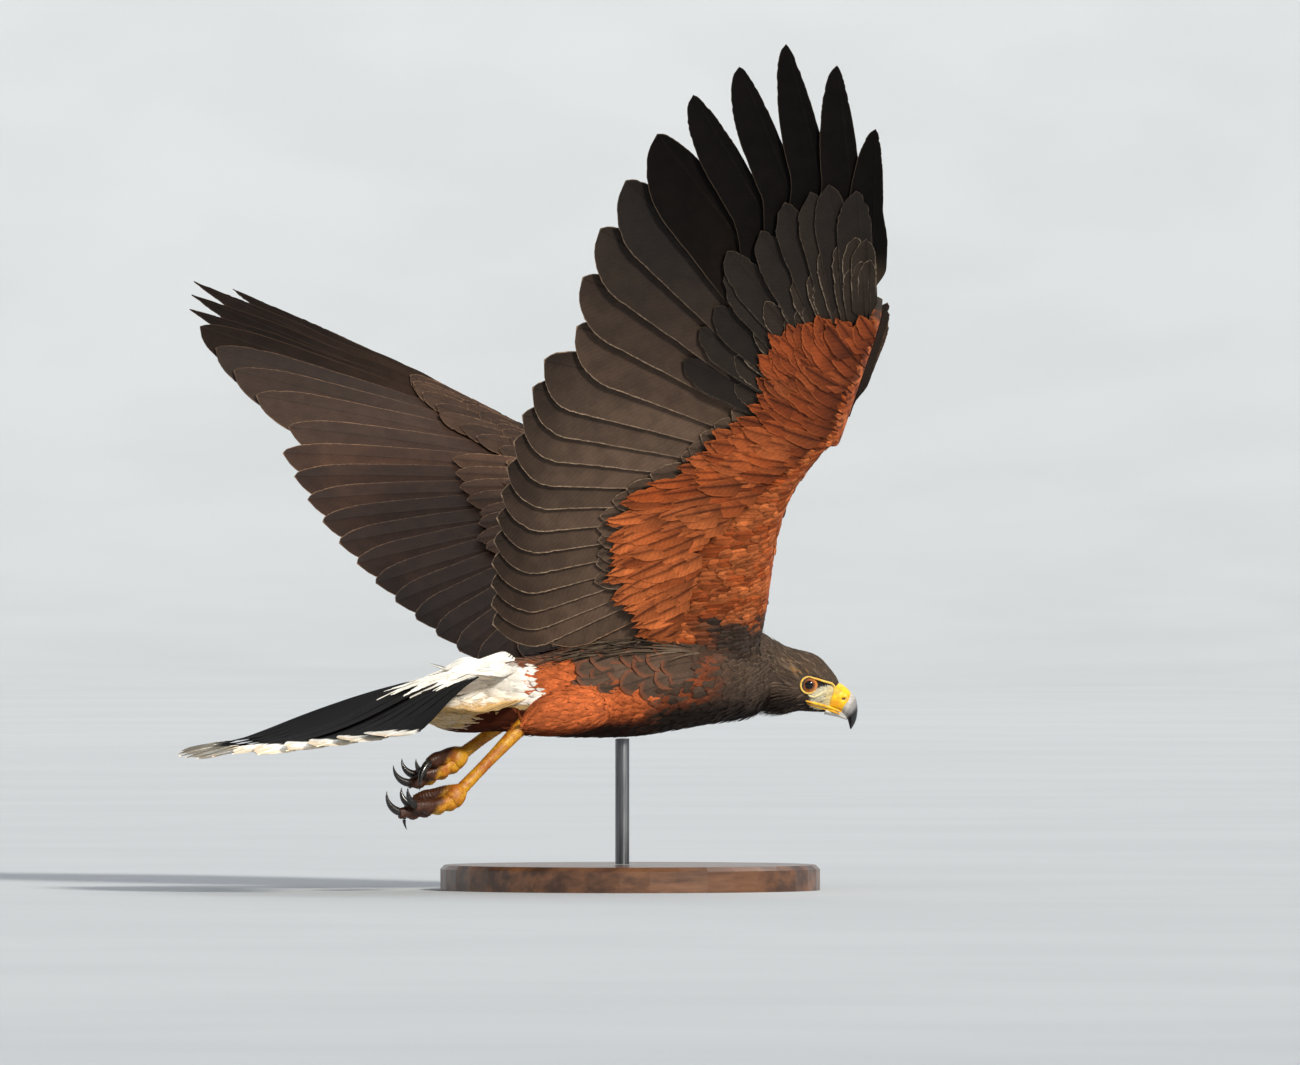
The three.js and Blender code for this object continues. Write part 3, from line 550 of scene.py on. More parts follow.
def brow_ridge(side):
    marks = [(-3, 15.5, 11.6), (4, 16.4, 12.4), (11, 14.8, 13.0), (17, 12.2, 13.0),
             (22, 8.6, 12.4)]
    ridge = [head_at(forward, side * aside, up) for forward, aside, up in marks]
    return sweep(ridge, [1.5, 2.4, 2.5, 2.1, 1.0], 12, 26, head_up)


def thigh_rings(leg):
    hip, ankle, knee = thigh_joints(leg)
    inside = hip + np.array([22, -leg["side"] * 9, 4])
    end = ankle + unit(ankle - knee) * -2
    return sweep([inside, hip, knee, end], [8, 16.5, 14.5, 5.2], 24, 20)


def arm_rings(w):
    """Flesh of the wing from inside the shoulder to the wrist, with the web of skin that
    spans the elbow in front."""
    chart, *_ = wing_chart(w)
    j = joints(w)
    elbow, wrist = j["elbow"] + (2, 15), j["wrist"] + (3, 10)
    rings = []
    for t in np.linspace(0, 1, 16):
        hollow = w["hollow"] * math.sin(math.pi * t ** 1.6)
        front = mix(np.array([-14, -13.0]), j["wrist"] + (0, -13), t) + (0, hollow + 1.5)
        rear = (mix(np.array([-14, 62.0]), elbow, 2 * t) if t < 0.5
                else mix(elbow, wrist, 2 * t - 1)) - (0, 2)
        rings.append(wing_ring(chart, front, rear, mix(8.6, 6.8, t), mix(10.2, 7.3, t)))
    return rings


# Sections of the hand: place from wrist (0) to tip (1), and how far it reaches ahead, behind,
# above and below
HAND_SECTIONS = [(-0.14, 12, 9, 6, 6.5), (0, 12, 9, 6.6, 7.1), (0.3, 11, 8.4, 6, 6.5),
                 (0.65, 10, 7.6, 5.3, 5.8), (1, 8.5, 7, 4.3, 4.8), (1.2, 5, 4, 1.8, 2)]


def hand_rings(w):
    chart, *_ = wing_chart(w)
    j = joints(w)
    rings = []
    for t, ahead, behind, rise, drop in through(HAND_SECTIONS, 14):
        middle = mix(j["wrist"], j["tip"], t)
        rings.append(wing_ring(chart, middle - (0, ahead), middle + (3, behind), rise, drop))
    return rings


# The flesh that carries the tail's feathers, and the vent below it: along, height, half the
# width, half the depth
TAIL_STUMP = [(-140, 151.2, 12, 2), (-134, 152.9, 14, 3.4), (-127, 155, 15, 4.2),
              (-112, 158, 13, 5)]
VENT = [(-155, 123.8, 4, 3), (-150, 124.3, 8.5, 6.8), (-140, 125, 12.5, 11),
        (-127, 127, 14.5, 14.2), (-112, 128, 14, 15)]


def rear_rings(sections, steps, sides):
    return [oval((x, 0, z), (0, 1, 0), (0, 0, 1), half, deep, deep, sides)
            for x, z, half, deep in through(sections, steps)]


def flesh():
    """All tubes of the bird's flesh, each labelled with its region."""
    lofts = Lofts()
    lofts.add(body_rings(), "body")
    lofts.add(head_rings(), "head")
    for side in (1, -1):
        lofts.add(brow_ridge(side), "head")
    for name, leg in LEGS.items():
        lofts.add(thigh_rings(leg), "thigh_" + name)
    for name, w in WINGS.items():
        lofts.add(arm_rings(w), "arm_" + name)
        lofts.add(hand_rings(w), "hand_" + name)
    lofts.add(rear_rings(TAIL_STUMP, 10, 20), "rump")
    lofts.add(rear_rings(VENT, 14, 24), "rump")
    return lofts


def build_skin():
    """The tubes joined into one soft surface, and the region that owns each of its points."""
    lofts = flesh()
    rough = bpy.data.objects.new("rough", lofts.mesh("rough"))
    bpy.context.scene.collection.objects.link(rough)
    remesh = rough.modifiers.new("Remesh", "REMESH")
    remesh.mode, remesh.voxel_size = "VOXEL", VOXEL
    soften = rough.modifiers.new("Soften", "SMOOTH")
    soften.factor, soften.iterations = 0.6, 7
    graph = bpy.context.evaluated_depsgraph_get()
    mesh = bpy.data.meshes.new_from_object(rough.evaluated_get(graph))
    bpy.data.objects.remove(rough)
    mesh.name = "skin"
    points = read(mesh.vertices, "co", 3) / MM
    source = np.vstack(lofts.points)
    tree = KDTree(len(source))
    for i, p in enumerate(source):
        tree.insert(p, i)
    tree.balance()
    names = sorted(set(lofts.labels))
    numbers = np.array([names.index(label) for label in lofts.labels])
    owner = np.array([numbers[tree.find(p)[1]] for p in points])
    return mesh, points, names, owner


def thigh_joints(leg):
    hip = np.array([HIP[0], leg["side"] * HIP[1], HIP[2]])
    ankle = np.array(leg["ankle"], float)
    knee = (hip + ankle) / 2 + np.array([-4, leg["side"] * 4, 2])
    return hip, ankle, knee


def wing_ring(chart, front, rear, rise, drop):
    """A section of the wing's flesh: rounded in front and thin at the rear."""
    t = 0.5 - 0.5 * np.cos(np.linspace(0, np.pi, 13))
    profile = np.interp(t, [0, 0.05, 0.22, 0.55, 1], [0, 0.55, 1, 0.85, 0.28])
    u = mix(front[0], rear[0], t)
    v = mix(front[1], rear[1], t)
    top = chart(u, v, rise * profile)
    below = chart(u[1:], v[1:], -drop * profile[1:])[::-1]
    return np.vstack([top, below])


skin_mesh, skin_points, region_names, skin_region = build_skin()
skin_mesh.calc_loop_triangles()
skin_triangles = read(skin_mesh.loop_triangles, "vertices", 3, np.int32)
skin_normals = read(skin_mesh.vertices, "normal", 3)
skin_tree = BVHTree.FromPolygons(skin_points.tolist(), skin_triangles.tolist())


# Markings, shared by the skin and the feathers on it

RUFOUS = srgb(164, 76, 32)
BRIGHT_RUFOUS = srgb(204, 110, 58)
DARK_RUFOUS = srgb(98, 42, 18)
FLANK_RUFOUS = srgb(190, 96, 50)
HEAD_BROWN = srgb(68, 54, 45)
SLATE_BROWN = srgb(92, 73, 60)
PALE_BROWN = srgb(138, 118, 98)
DEEP_BROWN = srgb(34, 24, 18)
UPPER_BROWN = srgb(70, 50, 37)
COVERT_BROWN = srgb(92, 65, 48)
BUFF = srgb(168, 130, 100)
PALE_RIM = srgb(182, 156, 130)
WHITE = srgb(250, 246, 236)
# Cream: painted shade on the white vent and lower tail coverts; also used at the tail feathers'
# ends.
CREAM = srgb(206, 172, 116)
BLACK = srgb(13, 10, 9)
TAIL_BLACK = srgb(12, 10, 10)
LORE = srgb(214, 204, 174)
FLIGHT_GREY = srgb(82, 65, 53)
# How far behind the wing's flesh the rufous lining reaches, from the shoulder (0) over the
# elbow (1) and the wrist (2) to the hand's tip (3)
LINING = [(0, 2), (0.45, 50), (0.82, 55), (1.25, 68), (1.64, 56), (1.9, 62), (2.26, 49),
          (2.75, 62), (2.9, 56), (3.04, 47), (3.1, 0)]
WHITE_FROM = -76  # where the white rump begins on the flank
WAVES = 6  # how many sine waves cross in a tangle


def tangle(points, size, seed):
    """Smooth random numbers from 0 to 1 over space."""
    phase = draws(seed).uniform(0, 6.28, WAVES)
    turns = draws(seed + 1).normal(0, 1, (WAVES, 3)) / size
    total = np.zeros(len(points))
    for k in range(WAVES):
        total += np.sin(points @ turns[k] * 3.1 + phase[k])
    return np.clip(0.5 + total / 6.5, 0, 1)


def body_marks(points, normals):
    """Base colour, fringe colour and fringe strength over body, neck and head. Each marking
    is laid over the ones before it, and wander lets its edge run unevenly."""
    x, _, z = points.T
    upness = normals[:, 2]
    wander = tangle(points, 9, 3) - 0.5
    base = np.tile(FLANK_RUFOUS, (len(points), 1))
    rim = np.tile(BRIGHT_RUFOUS, (len(points), 1))
    edge = np.full(len(points), 0.4)

    def lay(mask, colour, rim_colour, strength):
        nonlocal base, rim, edge
        m = np.clip(mask, 0, 1)[:, None]
        base = mix(base, colour, m)
        rim = mix(rim, rim_colour, m)
        edge = mix(edge, strength, m[:, 0])

    # The downward-facing belly near-black: partly its own dark brown plumage, partly painted shade
    # on the underside.
    belly = smooth(-upness, 0.6, 0.85) * smooth(x, -70, -45)
    lay(belly, DEEP_BROWN, DARK_RUFOUS, 0.5)
    flank = (smooth(x, -40, -30) * smooth(z + 8 * wander, 146, 152)
             * smooth(-z, -183, -174))
    lay(flank, SLATE_BROWN * 0.92, mix(SLATE_BROWN, FLANK_RUFOUS, 0.4), 0.4)
    back = smooth(upness + 0.15 * wander, 0.78, 0.93) * smooth(x, -112, -96)
    lay(back, mix(COVERT_BROWN, DARK_RUFOUS, 0.3), BUFF, 0.5)
    chest = smooth(x + 14 * wander + 0.25 * (z - 140), 4, 20)
    lay(chest, SLATE_BROWN * 0.6, mix(SLATE_BROWN, DARK_RUFOUS, 0.5), 0.6)
    patch = smooth(tangle(points, 7, 17), 0.56, 0.68) * chest * (1 - smooth(x, 45, 72))
    lay(0.7 * patch, mix(DARK_RUFOUS, RUFOUS, 0.5), FLANK_RUFOUS, 0.6)
    # The chest's downward-facing side near-black: partly its own dark plumage, partly painted shade
    # on the underside.
    lay(chest * smooth(-upness, 0.35, 0.75), DEEP_BROWN, DEEP_BROWN, 0.3)
    neck = smooth(x + 10 * wander, 62, 84)
    lay(neck, HEAD_BROWN, PALE_BROWN, 0.35)
    throat = neck * smooth(-upness, 0.25, 0.8)
    lay(throat, srgb(36, 28, 26), srgb(60, 48, 42), 0.3)
    # Painted shade: dark rufous low on the body behind the thighs, where the legs and vent shade
    # it.
    painted_shade_behind_thighs = smooth(-x, 72, 82) * smooth(-z, -142, -136)
    lay(painted_shade_behind_thighs, DARK_RUFOUS * 0.5, DARK_RUFOUS, 0.3)
    slant = 2.1 * np.clip(137 - z, 0, 22)
    brown_top = smooth(upness, 0.88, 0.92) * smooth(x, -86, -84)
    rump = smooth(WHITE_FROM - slant - x + 7 * wander, -0.4, 0.4) * (1 - 0.95 * brown_top)
    lay(rump, WHITE, WHITE, 0.2)
    # Painted shade: the white feathers low on the rump and vent are tinted cream, as white looks in
    # shade.
    vent = rump * smooth(-z, -141, -131)
    lay(vent, CREAM, WHITE, 0.4)
    return base, rim, edge


def face_marks(points, base):
    """The bare skin between eye and bill: pale lore, and a painted shadow of the brow, a dark wedge
    under it.
    """
    f, l, u = head_place(points)
    side = smooth(np.abs(l), 3.5, 5.5)
    edge = np.interp(f, [8, 11, 19.5, 22], [-1.5, 5.0, 10.6, 11.0])
    front = np.interp(u, [-6, -1.5], [11, 8.2])
    lore = smooth(f, front - 0.5, front + 0.8) * smooth(edge - u, -0.4, 0.7) * side
    # Painted shadow of the brow: the side of the face from the eye forward goes near-black, and the
    # lore covers all of it but the wedge under the brow.
    base = mix(base, srgb(26, 20, 18), (side * smooth(f, 4, 6))[:, None])
    # Painted shade: a greyish line on the lore just under the lid fold, where the fold shades it.
    crease_shade = np.exp(-((u - np.interp(f, [8, 12, 17, 20], [-2.9, -2.6, 2.4, 4.5])) / 0.5) ** 2)
    tone = mix(LORE, mix(LORE, srgb(232, 200, 96), 0.6), smooth(f, 15, 23)[:, None])
    tone = mix(tone, srgb(150, 130, 100), (0.55 * crease_shade)[:, None])
    return mix(base, tone, lore[:, None])


def wing_marks(points, w, under):
    """Base, fringe and strength for small wing feathers."""
    _, unchart, *_ = wing_chart(w)
    j = joints(w)
    u, v, _ = unchart(points)
    wander = tangle(points, 7, 9) - 0.5
    shoulder = (1 - smooth(u + 16 * wander, 12, 26)) * (1 - smooth(v + 10 * wander, 14, 34))
    if under:
        base = mix(RUFOUS, BRIGHT_RUFOUS, smooth(tangle(points, 10, 5), 0.3, 0.7)[:, None])
        dark = smooth(tangle(points, 5, 11), 0.55, 0.66) * mix(0.35, 0.9, smooth(u, 100, 170))
        base = mix(base, DARK_RUFOUS, dark[:, None])
        far = smooth(u + 20 * wander, j["tip"][0] - 4, j["tip"][0] + 10)
        base = mix(base, srgb(58, 48, 42), far[:, None])
        rim = mix(base, srgb(214, 140, 86), 0.4)
    else:
        chestnut = smooth(-v + 20 * wander, -14, 4) * (1 - smooth(u, 150, 185))
        base = mix(COVERT_BROWN, DARK_RUFOUS * 1.25, chestnut[:, None])
        rim = np.tile(mix(BUFF, RUFOUS, 0.35), (len(points), 1))
    base = mix(base, HEAD_BROWN * 0.9, shoulder[:, None])
    return base, mix(rim, HEAD_BROWN * 1.3, shoulder[:, None]), np.full(len(points), 0.5)


# Vanes on a chart: flight feathers and large coverts

# A vane is a dict: its root (u, v, height), the angle and length of its shaft, its widths
# before and behind the shaft (lead, trail), its paint, and where it differs from a plain one:
# quill and flare, how the root widens; notch and cut, where and how far it narrows to a
# finger; tip, round and point, the end's outline; swept, spiky and worn, how its edges run
# back; bend, tilt, roll, crown and lift, how it curves.
def vane_shape(t, f):
    """Width at each station t, from 0 at the root to 1 at the tip, as a part of it all."""
    quill = f.get("quill", 0.07)
    root = mix(0.08, 1, smooth(t, quill, quill + f.get("flare", 0.16)))
    notch = f.get("notch", 1)
    finger = 1 - f.get("cut", 0.4) * smooth(t, notch, notch + 0.2)
    start, power = f.get("tip", 0.86), f.get("round", 2.0)
    fall = np.clip((t - start) / (1 - start), 0, 1)
    tip = np.sqrt(np.clip(1 - fall ** power, 0.0009, 1))
    tip = mix(tip, np.maximum(1 - fall, 0.03), f.get("point", 0.0))
    return root * finger * tip


# Where a vane's points lie between its shaft (0) and its edge (1)
LONG_VANE = (0, 0.018, 0.09, 0.25, 0.42, 0.6, 0.78, 0.9, 1.0)
SHORT_VANE = (0, 0.06, 0.36, 0.72, 1.0)
FOLD = 50  # degrees between faces, from which an edge of a vane isn't shaded round


def vanes(chart, feathers, stations, across, thick, seed, ridge=0.55, ragged=0.0):
    """Solid vanes: points, quads, fields for shading, and the place of each on its own
    patch. ridge is the height of the shaft, and ragged how far worn edges draw in."""
    draw = draws(seed)
    t = np.interp(np.linspace(0, 1, stations), [0, 0.66, 1], [0, 0.8, 1])
    half = np.array(across)
    a = np.concatenate([-half[:0:-1], half])
    m = len(a)
    top = np.tile(np.repeat([1.0, 0.0], m), stations)
    blocks, tints, rims, cells = [], [], [], []
    fields = {k: [] for k in ("along", "across", "edge", "shade", "rim")}

    def both(grid):
        return np.concatenate([grid, grid[:, ::-1]], 1).ravel()

    for f in feathers:
        d, edge, swept = vane_plan(f, t, a, ragged, draw)
        along = np.tile((t * f["length"])[:, None], (1, m))
        rachis = np.clip(1 - np.abs(a) / 0.045, 0, 1)[None, :] * (1 - 0.75 * t[:, None])
        height = vane_height(f, t, d)
        faces = [vane_face(chart, f, t, swept, d, height + face * (thick / 2 + rachis * rib))
                 for face, rib in ((1, ridge), (-1, ridge * 1.5))]
        blocks.append(np.concatenate([faces[0], faces[1][:, ::-1]], 1).reshape(-1, 3))
        part_t = both(np.tile(t[:, None], (1, m)))
        part_a = both(np.tile(a[None, :], (stations, 1)))
        tint, rim, strength = f["paint"](part_t, part_a, top)
        for key, values in (("along", both(along)), ("across", both(d)), ("edge", both(edge)),
                            ("shade", np.full(part_t.shape, draw.uniform())),
                            ("rim", np.broadcast_to(strength, part_t.shape))):
            fields[key].append(values)
        tints.append(tint)
        rims.append(rim)
        cells.append(np.stack([part_a, part_t], -1))
    size = 2 * m * stations
    one = vane_quads(stations, m)
    quads = np.vstack([one + n * size for n in range(len(feathers))])
    return dict(points=np.vstack(blocks), quads=quads, cells=cells,
                fields={**{k: np.concatenate(v) for k, v in fields.items()},
                        "tint": np.vstack(tints), "fringe": np.vstack(rims)})


def vane_plan(f, t, a, ragged, draw):
    """A flat vane: how far each point lies beside the shaft, how far inside the vane's edge,
    and how far along; t are the stations, and a runs from -1 to 1 across."""
    reach = np.where(a < 0, f["lead"], f["trail"])
    width = vane_shape(t, f)
    d = a[None, :] * reach[None, :] * width[:, None]
    edge = (1 - np.abs(a))[None, :] * reach[None, :] * width[:, None]
    edge = np.minimum(edge, ((1 - t) * f["length"] * 0.8)[:, None])
    wave = draw.normal(0, 1, (2, len(t)))
    wave = np.abs(wave + np.roll(wave, 1, 1)) / 2
    rows = np.where(a[None, :] < 0, wave[0][:, None], wave[1][:, None])
    outer = np.clip((np.abs(a) - 0.5) / 0.5, 0, 1)[None, :]
    worn = ragged * (0.5 + f.get("worn", 0.5) * smooth(t, 0.75, 0.95))
    pull = worn[:, None] * rows * outer * smooth(t, 0.2, 0.5)[:, None]
    d = d - np.sign(a)[None, :] * np.minimum(pull, 0.7 * np.abs(d))
    swept = (t * f["length"])[:, None] - f.get("swept", 0.0) * np.abs(d)
    spikes = f.get("spiky", 0.0) * draw.uniform(0, 1, len(a)) * (np.abs(a) > 0.05)
    return d, edge, swept - spikes[None, :] * smooth(t, 0.8, 1.0)[:, None]


def vane_height(f, t, d):
    """How far the middle of the vane's thickness stands above the chart."""
    roll = f.get("tilt", 6.0) + f.get("roll", 0.0) * smooth(t, 0.55, 1.0)
    tilt = np.tan(np.radians(roll))[:, None]
    crown = -f.get("crown", 0.03) * d ** 2 / f["trail"]
    return f["height"] - d * tilt + crown + f.get("lift", 0.0) * t[:, None] ** 2


def vane_face(chart, f, t, swept, d, height):
    out = step((0, 0), f["angle"], 1)
    aside = d + f.get("bend", 0.0) * f["length"] * t[:, None] ** 2
    return chart(f["u"] + out[0] * swept - out[1] * aside,
                 f["v"] + out[1] * swept + out[0] * aside, height)


def vane_quads(stations, m):
    """Faces of one vane, with m points across each side: its walls, root and tip."""
    ring = 2 * m
    c = np.arange(m - 1)
    first = np.stack([c, ring - 1 - c, ring - 2 - c, c + 1], -1)
    last = (stations - 1) * ring + first[:, ::-1]
    return np.vstack([thin_walls(stations, ring), first, last])


def cell_map(cells):
    """Each feather on its own oblong of the map."""
    count = len(cells)
    columns = math.ceil(math.sqrt(count * 4))
    rows = math.ceil(count / columns)
    uv = []
    for n, c in enumerate(cells):
        column, row = n % columns, n // columns
        uv.append(np.stack([(column + 0.5 + 0.44 * c[:, 0]) / columns,
                            (row + 0.04 + 0.92 * c[:, 1]) / rows], -1))
    return np.vstack(uv)


def vane_piece(name, made, material, replaced=()):
    mesh = quad_mesh(name, made["points"], made["quads"])
    piece(name, material, replaced, mesh, made["fields"], cell_map(made["cells"]),
          sharp=FOLD)


def flat(colour, rim, strength, low=0.0, dark=None, dark_at=0.0, upper=None):
    """Paint for a plain feather: darker towards its root by low, along its shaft by dark_at,
    and of another colour on its upper face where upper gives one."""
    def paint(t, a, top):
        gain = mix(1 - low, 1, smooth(t, 0.1, 0.6))[:, None]
        base = np.tile(colour, (len(t), 1))
        if upper is not None:
            base = mix(base, upper, top[:, None])
        # The factor across the vane is painted sheen and shade: a little darker on the leading
        # side, lighter on the trailing side.
        base = base * gain * mix(0.92, 1.08, a * 0.5 + 0.5)[:, None]
        if dark is not None:
            base = mix(base, dark, (dark_at * np.exp(-(a / 0.16) ** 2))[:, None])
        return base, np.tile(rim, (len(t), 1)), strength * smooth(t, 0.3, 0.75)
    return paint


feather_dark = plumage("black_flight_feather", 0.7, 0.9, relief=0.35, rough=0.72,
                       streak=0.16, shaft=-0.35, shine=0.06)
feather_brown = plumage("brown_flight_feather", 1.1, 0.9, rough=0.7, streak=0.2, shaft=0.3,
                        broken=0.55)
covert_brown = plumage("covert_feather", 1.1, 0.8, rough=0.74, streak=0.24, shaft=0.25,
                       broken=0.75)
lining_feather = plumage("lining_feather", 1.6, 0.9, relief=0.8, rough=0.78, streak=0.32,
                         shaft=0.35, vary=0.26)
body_feather = plumage("body_feather", 1.2, 0.7, relief=0.6, vary=0.24)
lesser_feather = plumage("lesser_wing_feather", 1.5, 0.7, relief=0.7, shaft=0.35, vary=0.26)
flank_feather = plumage("flank_feather", 3.6, 0.7, relief=0.6, streak=0.24, shaft=0.3,
                        vary=0.2)
head_feather = plumage("head_feather", 0.5, 0.5, relief=0.6, vary=0.2)
white_feather = plumage("white_feather", 1.0, 0.7, rough=0.84, streak=0.08)


def primary_angle(w, k):
    return mix(w["first"], w["tenth"], ((k - 1) / 9) ** w["crowding"])


def primary_paint(k):
    """Primary k, 0 innermost: black fingers, greyer inner ones with a pale rim."""
    inner = float(np.clip(1 - k / 4.5, 0, 1))

    def paint(t, a, top):
        below = mix(BLACK, mix(FLIGHT_GREY, UPPER_BROWN, 0.3), inner)
        above = mix(srgb(48, 35, 27), srgb(68, 49, 38), inner)
        base = mix(below, above, top[:, None])
        night = smooth(t, 0.3, 0.8) * mix(1 - 0.75 * inner, 0.75 - 0.7 * inner, top)
        base = mix(base, BLACK, night[:, None])
        pale = (1 - smooth(t, 0.12, 0.4)) * (0.35 if k > 4 else 0.2) * (1 - top)
        base = mix(base, PALE_BROWN, pale[:, None])
        # Painted sheen and shade across the vane: darker on the leading side, lighter on the
        # trailing side.
        base = base * mix(0.85, 1.15, a * 0.5 + 0.5)[:, None]
        return base, mix(PALE_RIM, BUFF, top[:, None]), (0.1 + 0.55 * inner) * smooth(t, 0.3, 0.7)
    return paint


def secondary_paint(t, a, top):
    under = mix(FLIGHT_GREY * 1.1, FLIGHT_GREY * 0.75, smooth(t, 0.5, 0.92)[:, None])
    base = mix(under, srgb(76, 51, 37), top[:, None])
    base = mix(base, DEEP_BROWN, (0.6 * smooth(t, 0.84, 0.97))[:, None])
    bars = 0.5 + 0.5 * np.sin(t * 62 + 2.4 * np.abs(a))
    base = base * (1 - 0.08 * bars * smooth(np.abs(a), 0.1, 0.5))[:, None]
    # Painted shade and sheen across the vane: darker on the leading part, in the shade of the next
    # feather, lighter towards the trailing rim.
    base = base * mix(0.72, 1.16, smooth(a, -0.3, 0.9))[:, None]
    return base, mix(PALE_RIM, BUFF, top[:, None]), 0.8 * smooth(t, 0.15, 1.0)


def lining_line(j, q):
    """Rear edge of the wing's flesh, from 0 at the shoulder to 3 at the hand's tip, and how
    far behind it the rufous lining reaches."""
    marks = np.array([(-14, 62), j["elbow"] + (2, 15), j["wrist"] + (3, 12),
                      j["tip"] + (0, 9)])
    line = np.stack([np.interp(q, [0, 1, 2, 3], marks[:, k]) for k in (0, 1)], -1)
    return line, np.interp(q, *np.array(LINING).T)


def lining_edge(j, u):
    """Place back, at each place outwards, where the rufous lining ends; the last four marks
    carry it round the tip of the hand."""
    line, depth = lining_line(j, np.linspace(0, 3.15, 80))
    reach = line[:, 0].copy()
    reach[-4:] = j["tip"][0] + np.array([2, 4, 6, 9])
    return np.interp(u, reach, line[:, 1] + depth, left=55)


def flight_feathers(w, j):
    """Primaries, secondaries and tertials. The left wing's are worn to narrower tips."""
    feathers = []
    worn = w["side"] > 0
    for i, full in enumerate(PRIMARIES):
        u, v = mix(j["wrist"], j["tip"], (i + 0.5) / 10)
        outer = 0.92 if i == 9 else 1
        finger = i >= FIRST_FINGER
        feathers.append(dict(
            u=u, v=v, angle=primary_angle(w, i + 1), length=full * w["reach"],
            lead=12.5 * outer, trail=34 * outer, height=-w["stack"] * (i / 9) ** 2,
            quill=0.07 + 0.008 * i, notch=0.42 if finger else 1, cut=0.4, tip=PRIMARY_TIPS[i],
            point=0.85 if worn and finger else 0.0, round=1.6 if i > 6 else 2.0,
            swept=0.12 if finger else 0.22, crown=0.03, paint=primary_paint(i),
            bend=0.02 if finger else 0.01))
    for k in range(SECONDARIES):
        u, v = mix(j["wrist"], j["elbow"], (k + 0.5) / SECONDARIES)
        share = k / (SECONDARIES - 1)
        feathers.append(dict(
            u=u, v=v, angle=mix(w["first"] + 6, w["last"], share),
            length=mix(SECONDARY_FIRST, SECONDARY_LAST, share) * w["reach"], lead=12.5,
            trail=33, height=0, tip=0.82 if worn else 0.86, round=2.0 if worn else 2.3,
            swept=0.12 if worn else 0.25, paint=secondary_paint, bend=0.012))
    for k in range(1, TERTIALS + 1):
        u, v = mix(j["elbow"], j["shoulder"], (k - 0.4) / 5.6)
        feathers.append(dict(
            u=u, v=v, angle=w["last"] + 2.4 * k, length=166 - 21 * k, lead=16, trail=32,
            height=-0.5 * k, tip=0.8, round=2.2, swept=0.25,
            paint=flat(FLIGHT_GREY * 1.05, BUFF, 0.9, 0.25, upper=UPPER_BROWN)))
    return feathers


def covert(root, angle, length, height, width, paint, tilt=6.0, **more):
    """A vane with the rounded outline of a covert."""
    made = dict(u=root[0], v=root[1], angle=angle, length=length, lead=0.36 * width,
                trail=0.64 * width, height=height, tilt=tilt, quill=0.1, flare=0.22, tip=0.78,
                round=2.2, swept=0.25, worn=1.0, paint=paint)
    made.update(more)
    return made


def covert_row(w, j, seed, part, count, length, height, ahead, width, paint, stop=1.0):
    """A row of coverts rooted along the forearm ("arm") or the hand ("hand"), ahead
    millimetres before its line; stop is the part of that line which they cover."""
    draw = draws(seed)
    rows = []
    for k in range(count):
        t = stop * (k + 0.5) / count
        if part == "arm":
            base = mix(j["wrist"], j["elbow"], t)
            angle, low, size = mix(w["first"] + 6, w["last"], t), 0, 1
        else:
            base = mix(j["wrist"], j["tip"], t)
            angle, low = primary_angle(w, 1 + 9 * t), -w["stack"] * t * t
            size = np.interp(t, [0, 0.3, 0.7, 1], [0.82, 1, 1, 0.7])
        angle += 1.2 * draw.normal()
        full = (length * size + ahead) * (1 + 0.035 * draw.normal())
        rows.append(covert(step(base, angle + 180, ahead), angle, full,
                           height + low + 0.15 * draw.normal(), width, paint))
    return rows


TRIES = 3  # how often a feather's length is mended, so that its tip lies on the edge
LINING_ROWS, LINING_COUNT = 7, 32


def lining_rows(w, j, seed):
    """Long rufous feathers under the wing, from its flesh back to the lining's edge."""
    draw = draws(seed)
    places = np.array([0, 1, 2, 2.35, 3])
    angles = np.array([w["last"] + 10, w["last"], w["first"] + 6, w["first"] - 8,
                       mix(w["first"], w["tenth"], 0.62)])
    rows = []
    for row in range(LINING_ROWS):
        share = (row - 1) / 5
        for k in range(LINING_COUNT):
            place = (k + 0.5 * (row % 2) + draw.uniform(0, 0.35)) / LINING_COUNT
            q = mix(0.12, 2.98, place)
            line, depth = lining_line(j, q)
            angle = float(np.interp(q, places, angles)) + 3 * draw.normal()
            root = line + (0, mix(-8.0, max(depth - 27, 0), share))
            length = 33 * draw.uniform(0.88, 1.12)
            reach = math.sin(math.radians(angle))
            for _ in range(TRIES):
                tip = step(root, angle, length)
                over = tip[1] - lining_edge(j, tip[0])
                if over > 0 or row == LINING_ROWS - 1:
                    length = max(length - over / max(reach, 0.5), 9)
            bright = tangle(np.array([[root[0], root[1], 7.0 * row]]), 16, 31)[0]
            bright = float(np.clip(1.5 * bright + 0.35 - 0.75 * (q - 0.6), 0, 1))
            dark = mix(draw.uniform(0, 0.4), draw.uniform(0.45, 0.8), float(smooth(q, 1.2, 2.2)))
            colour = mix(mix(RUFOUS, BRIGHT_RUFOUS, bright), DARK_RUFOUS, dark)
            paint = flat(colour, mix(colour, BRIGHT_RUFOUS, 0.6), 0.6, 0.5, DARK_RUFOUS * 0.6,
                         draw.uniform(0.2, 0.8))
            length += 4 * draw.uniform()
            height = mix(-10.8, -7.8, share) + 0.25 * draw.normal()
            rows.append(covert(root, angle, length, height, draw.uniform(9, 15), paint, tilt=3,
                               lift=mix(1.5, 0.0, share), spiky=3.0, tip=0.5, round=1.8,
                               bend=0.05 * draw.normal()))
    return rows


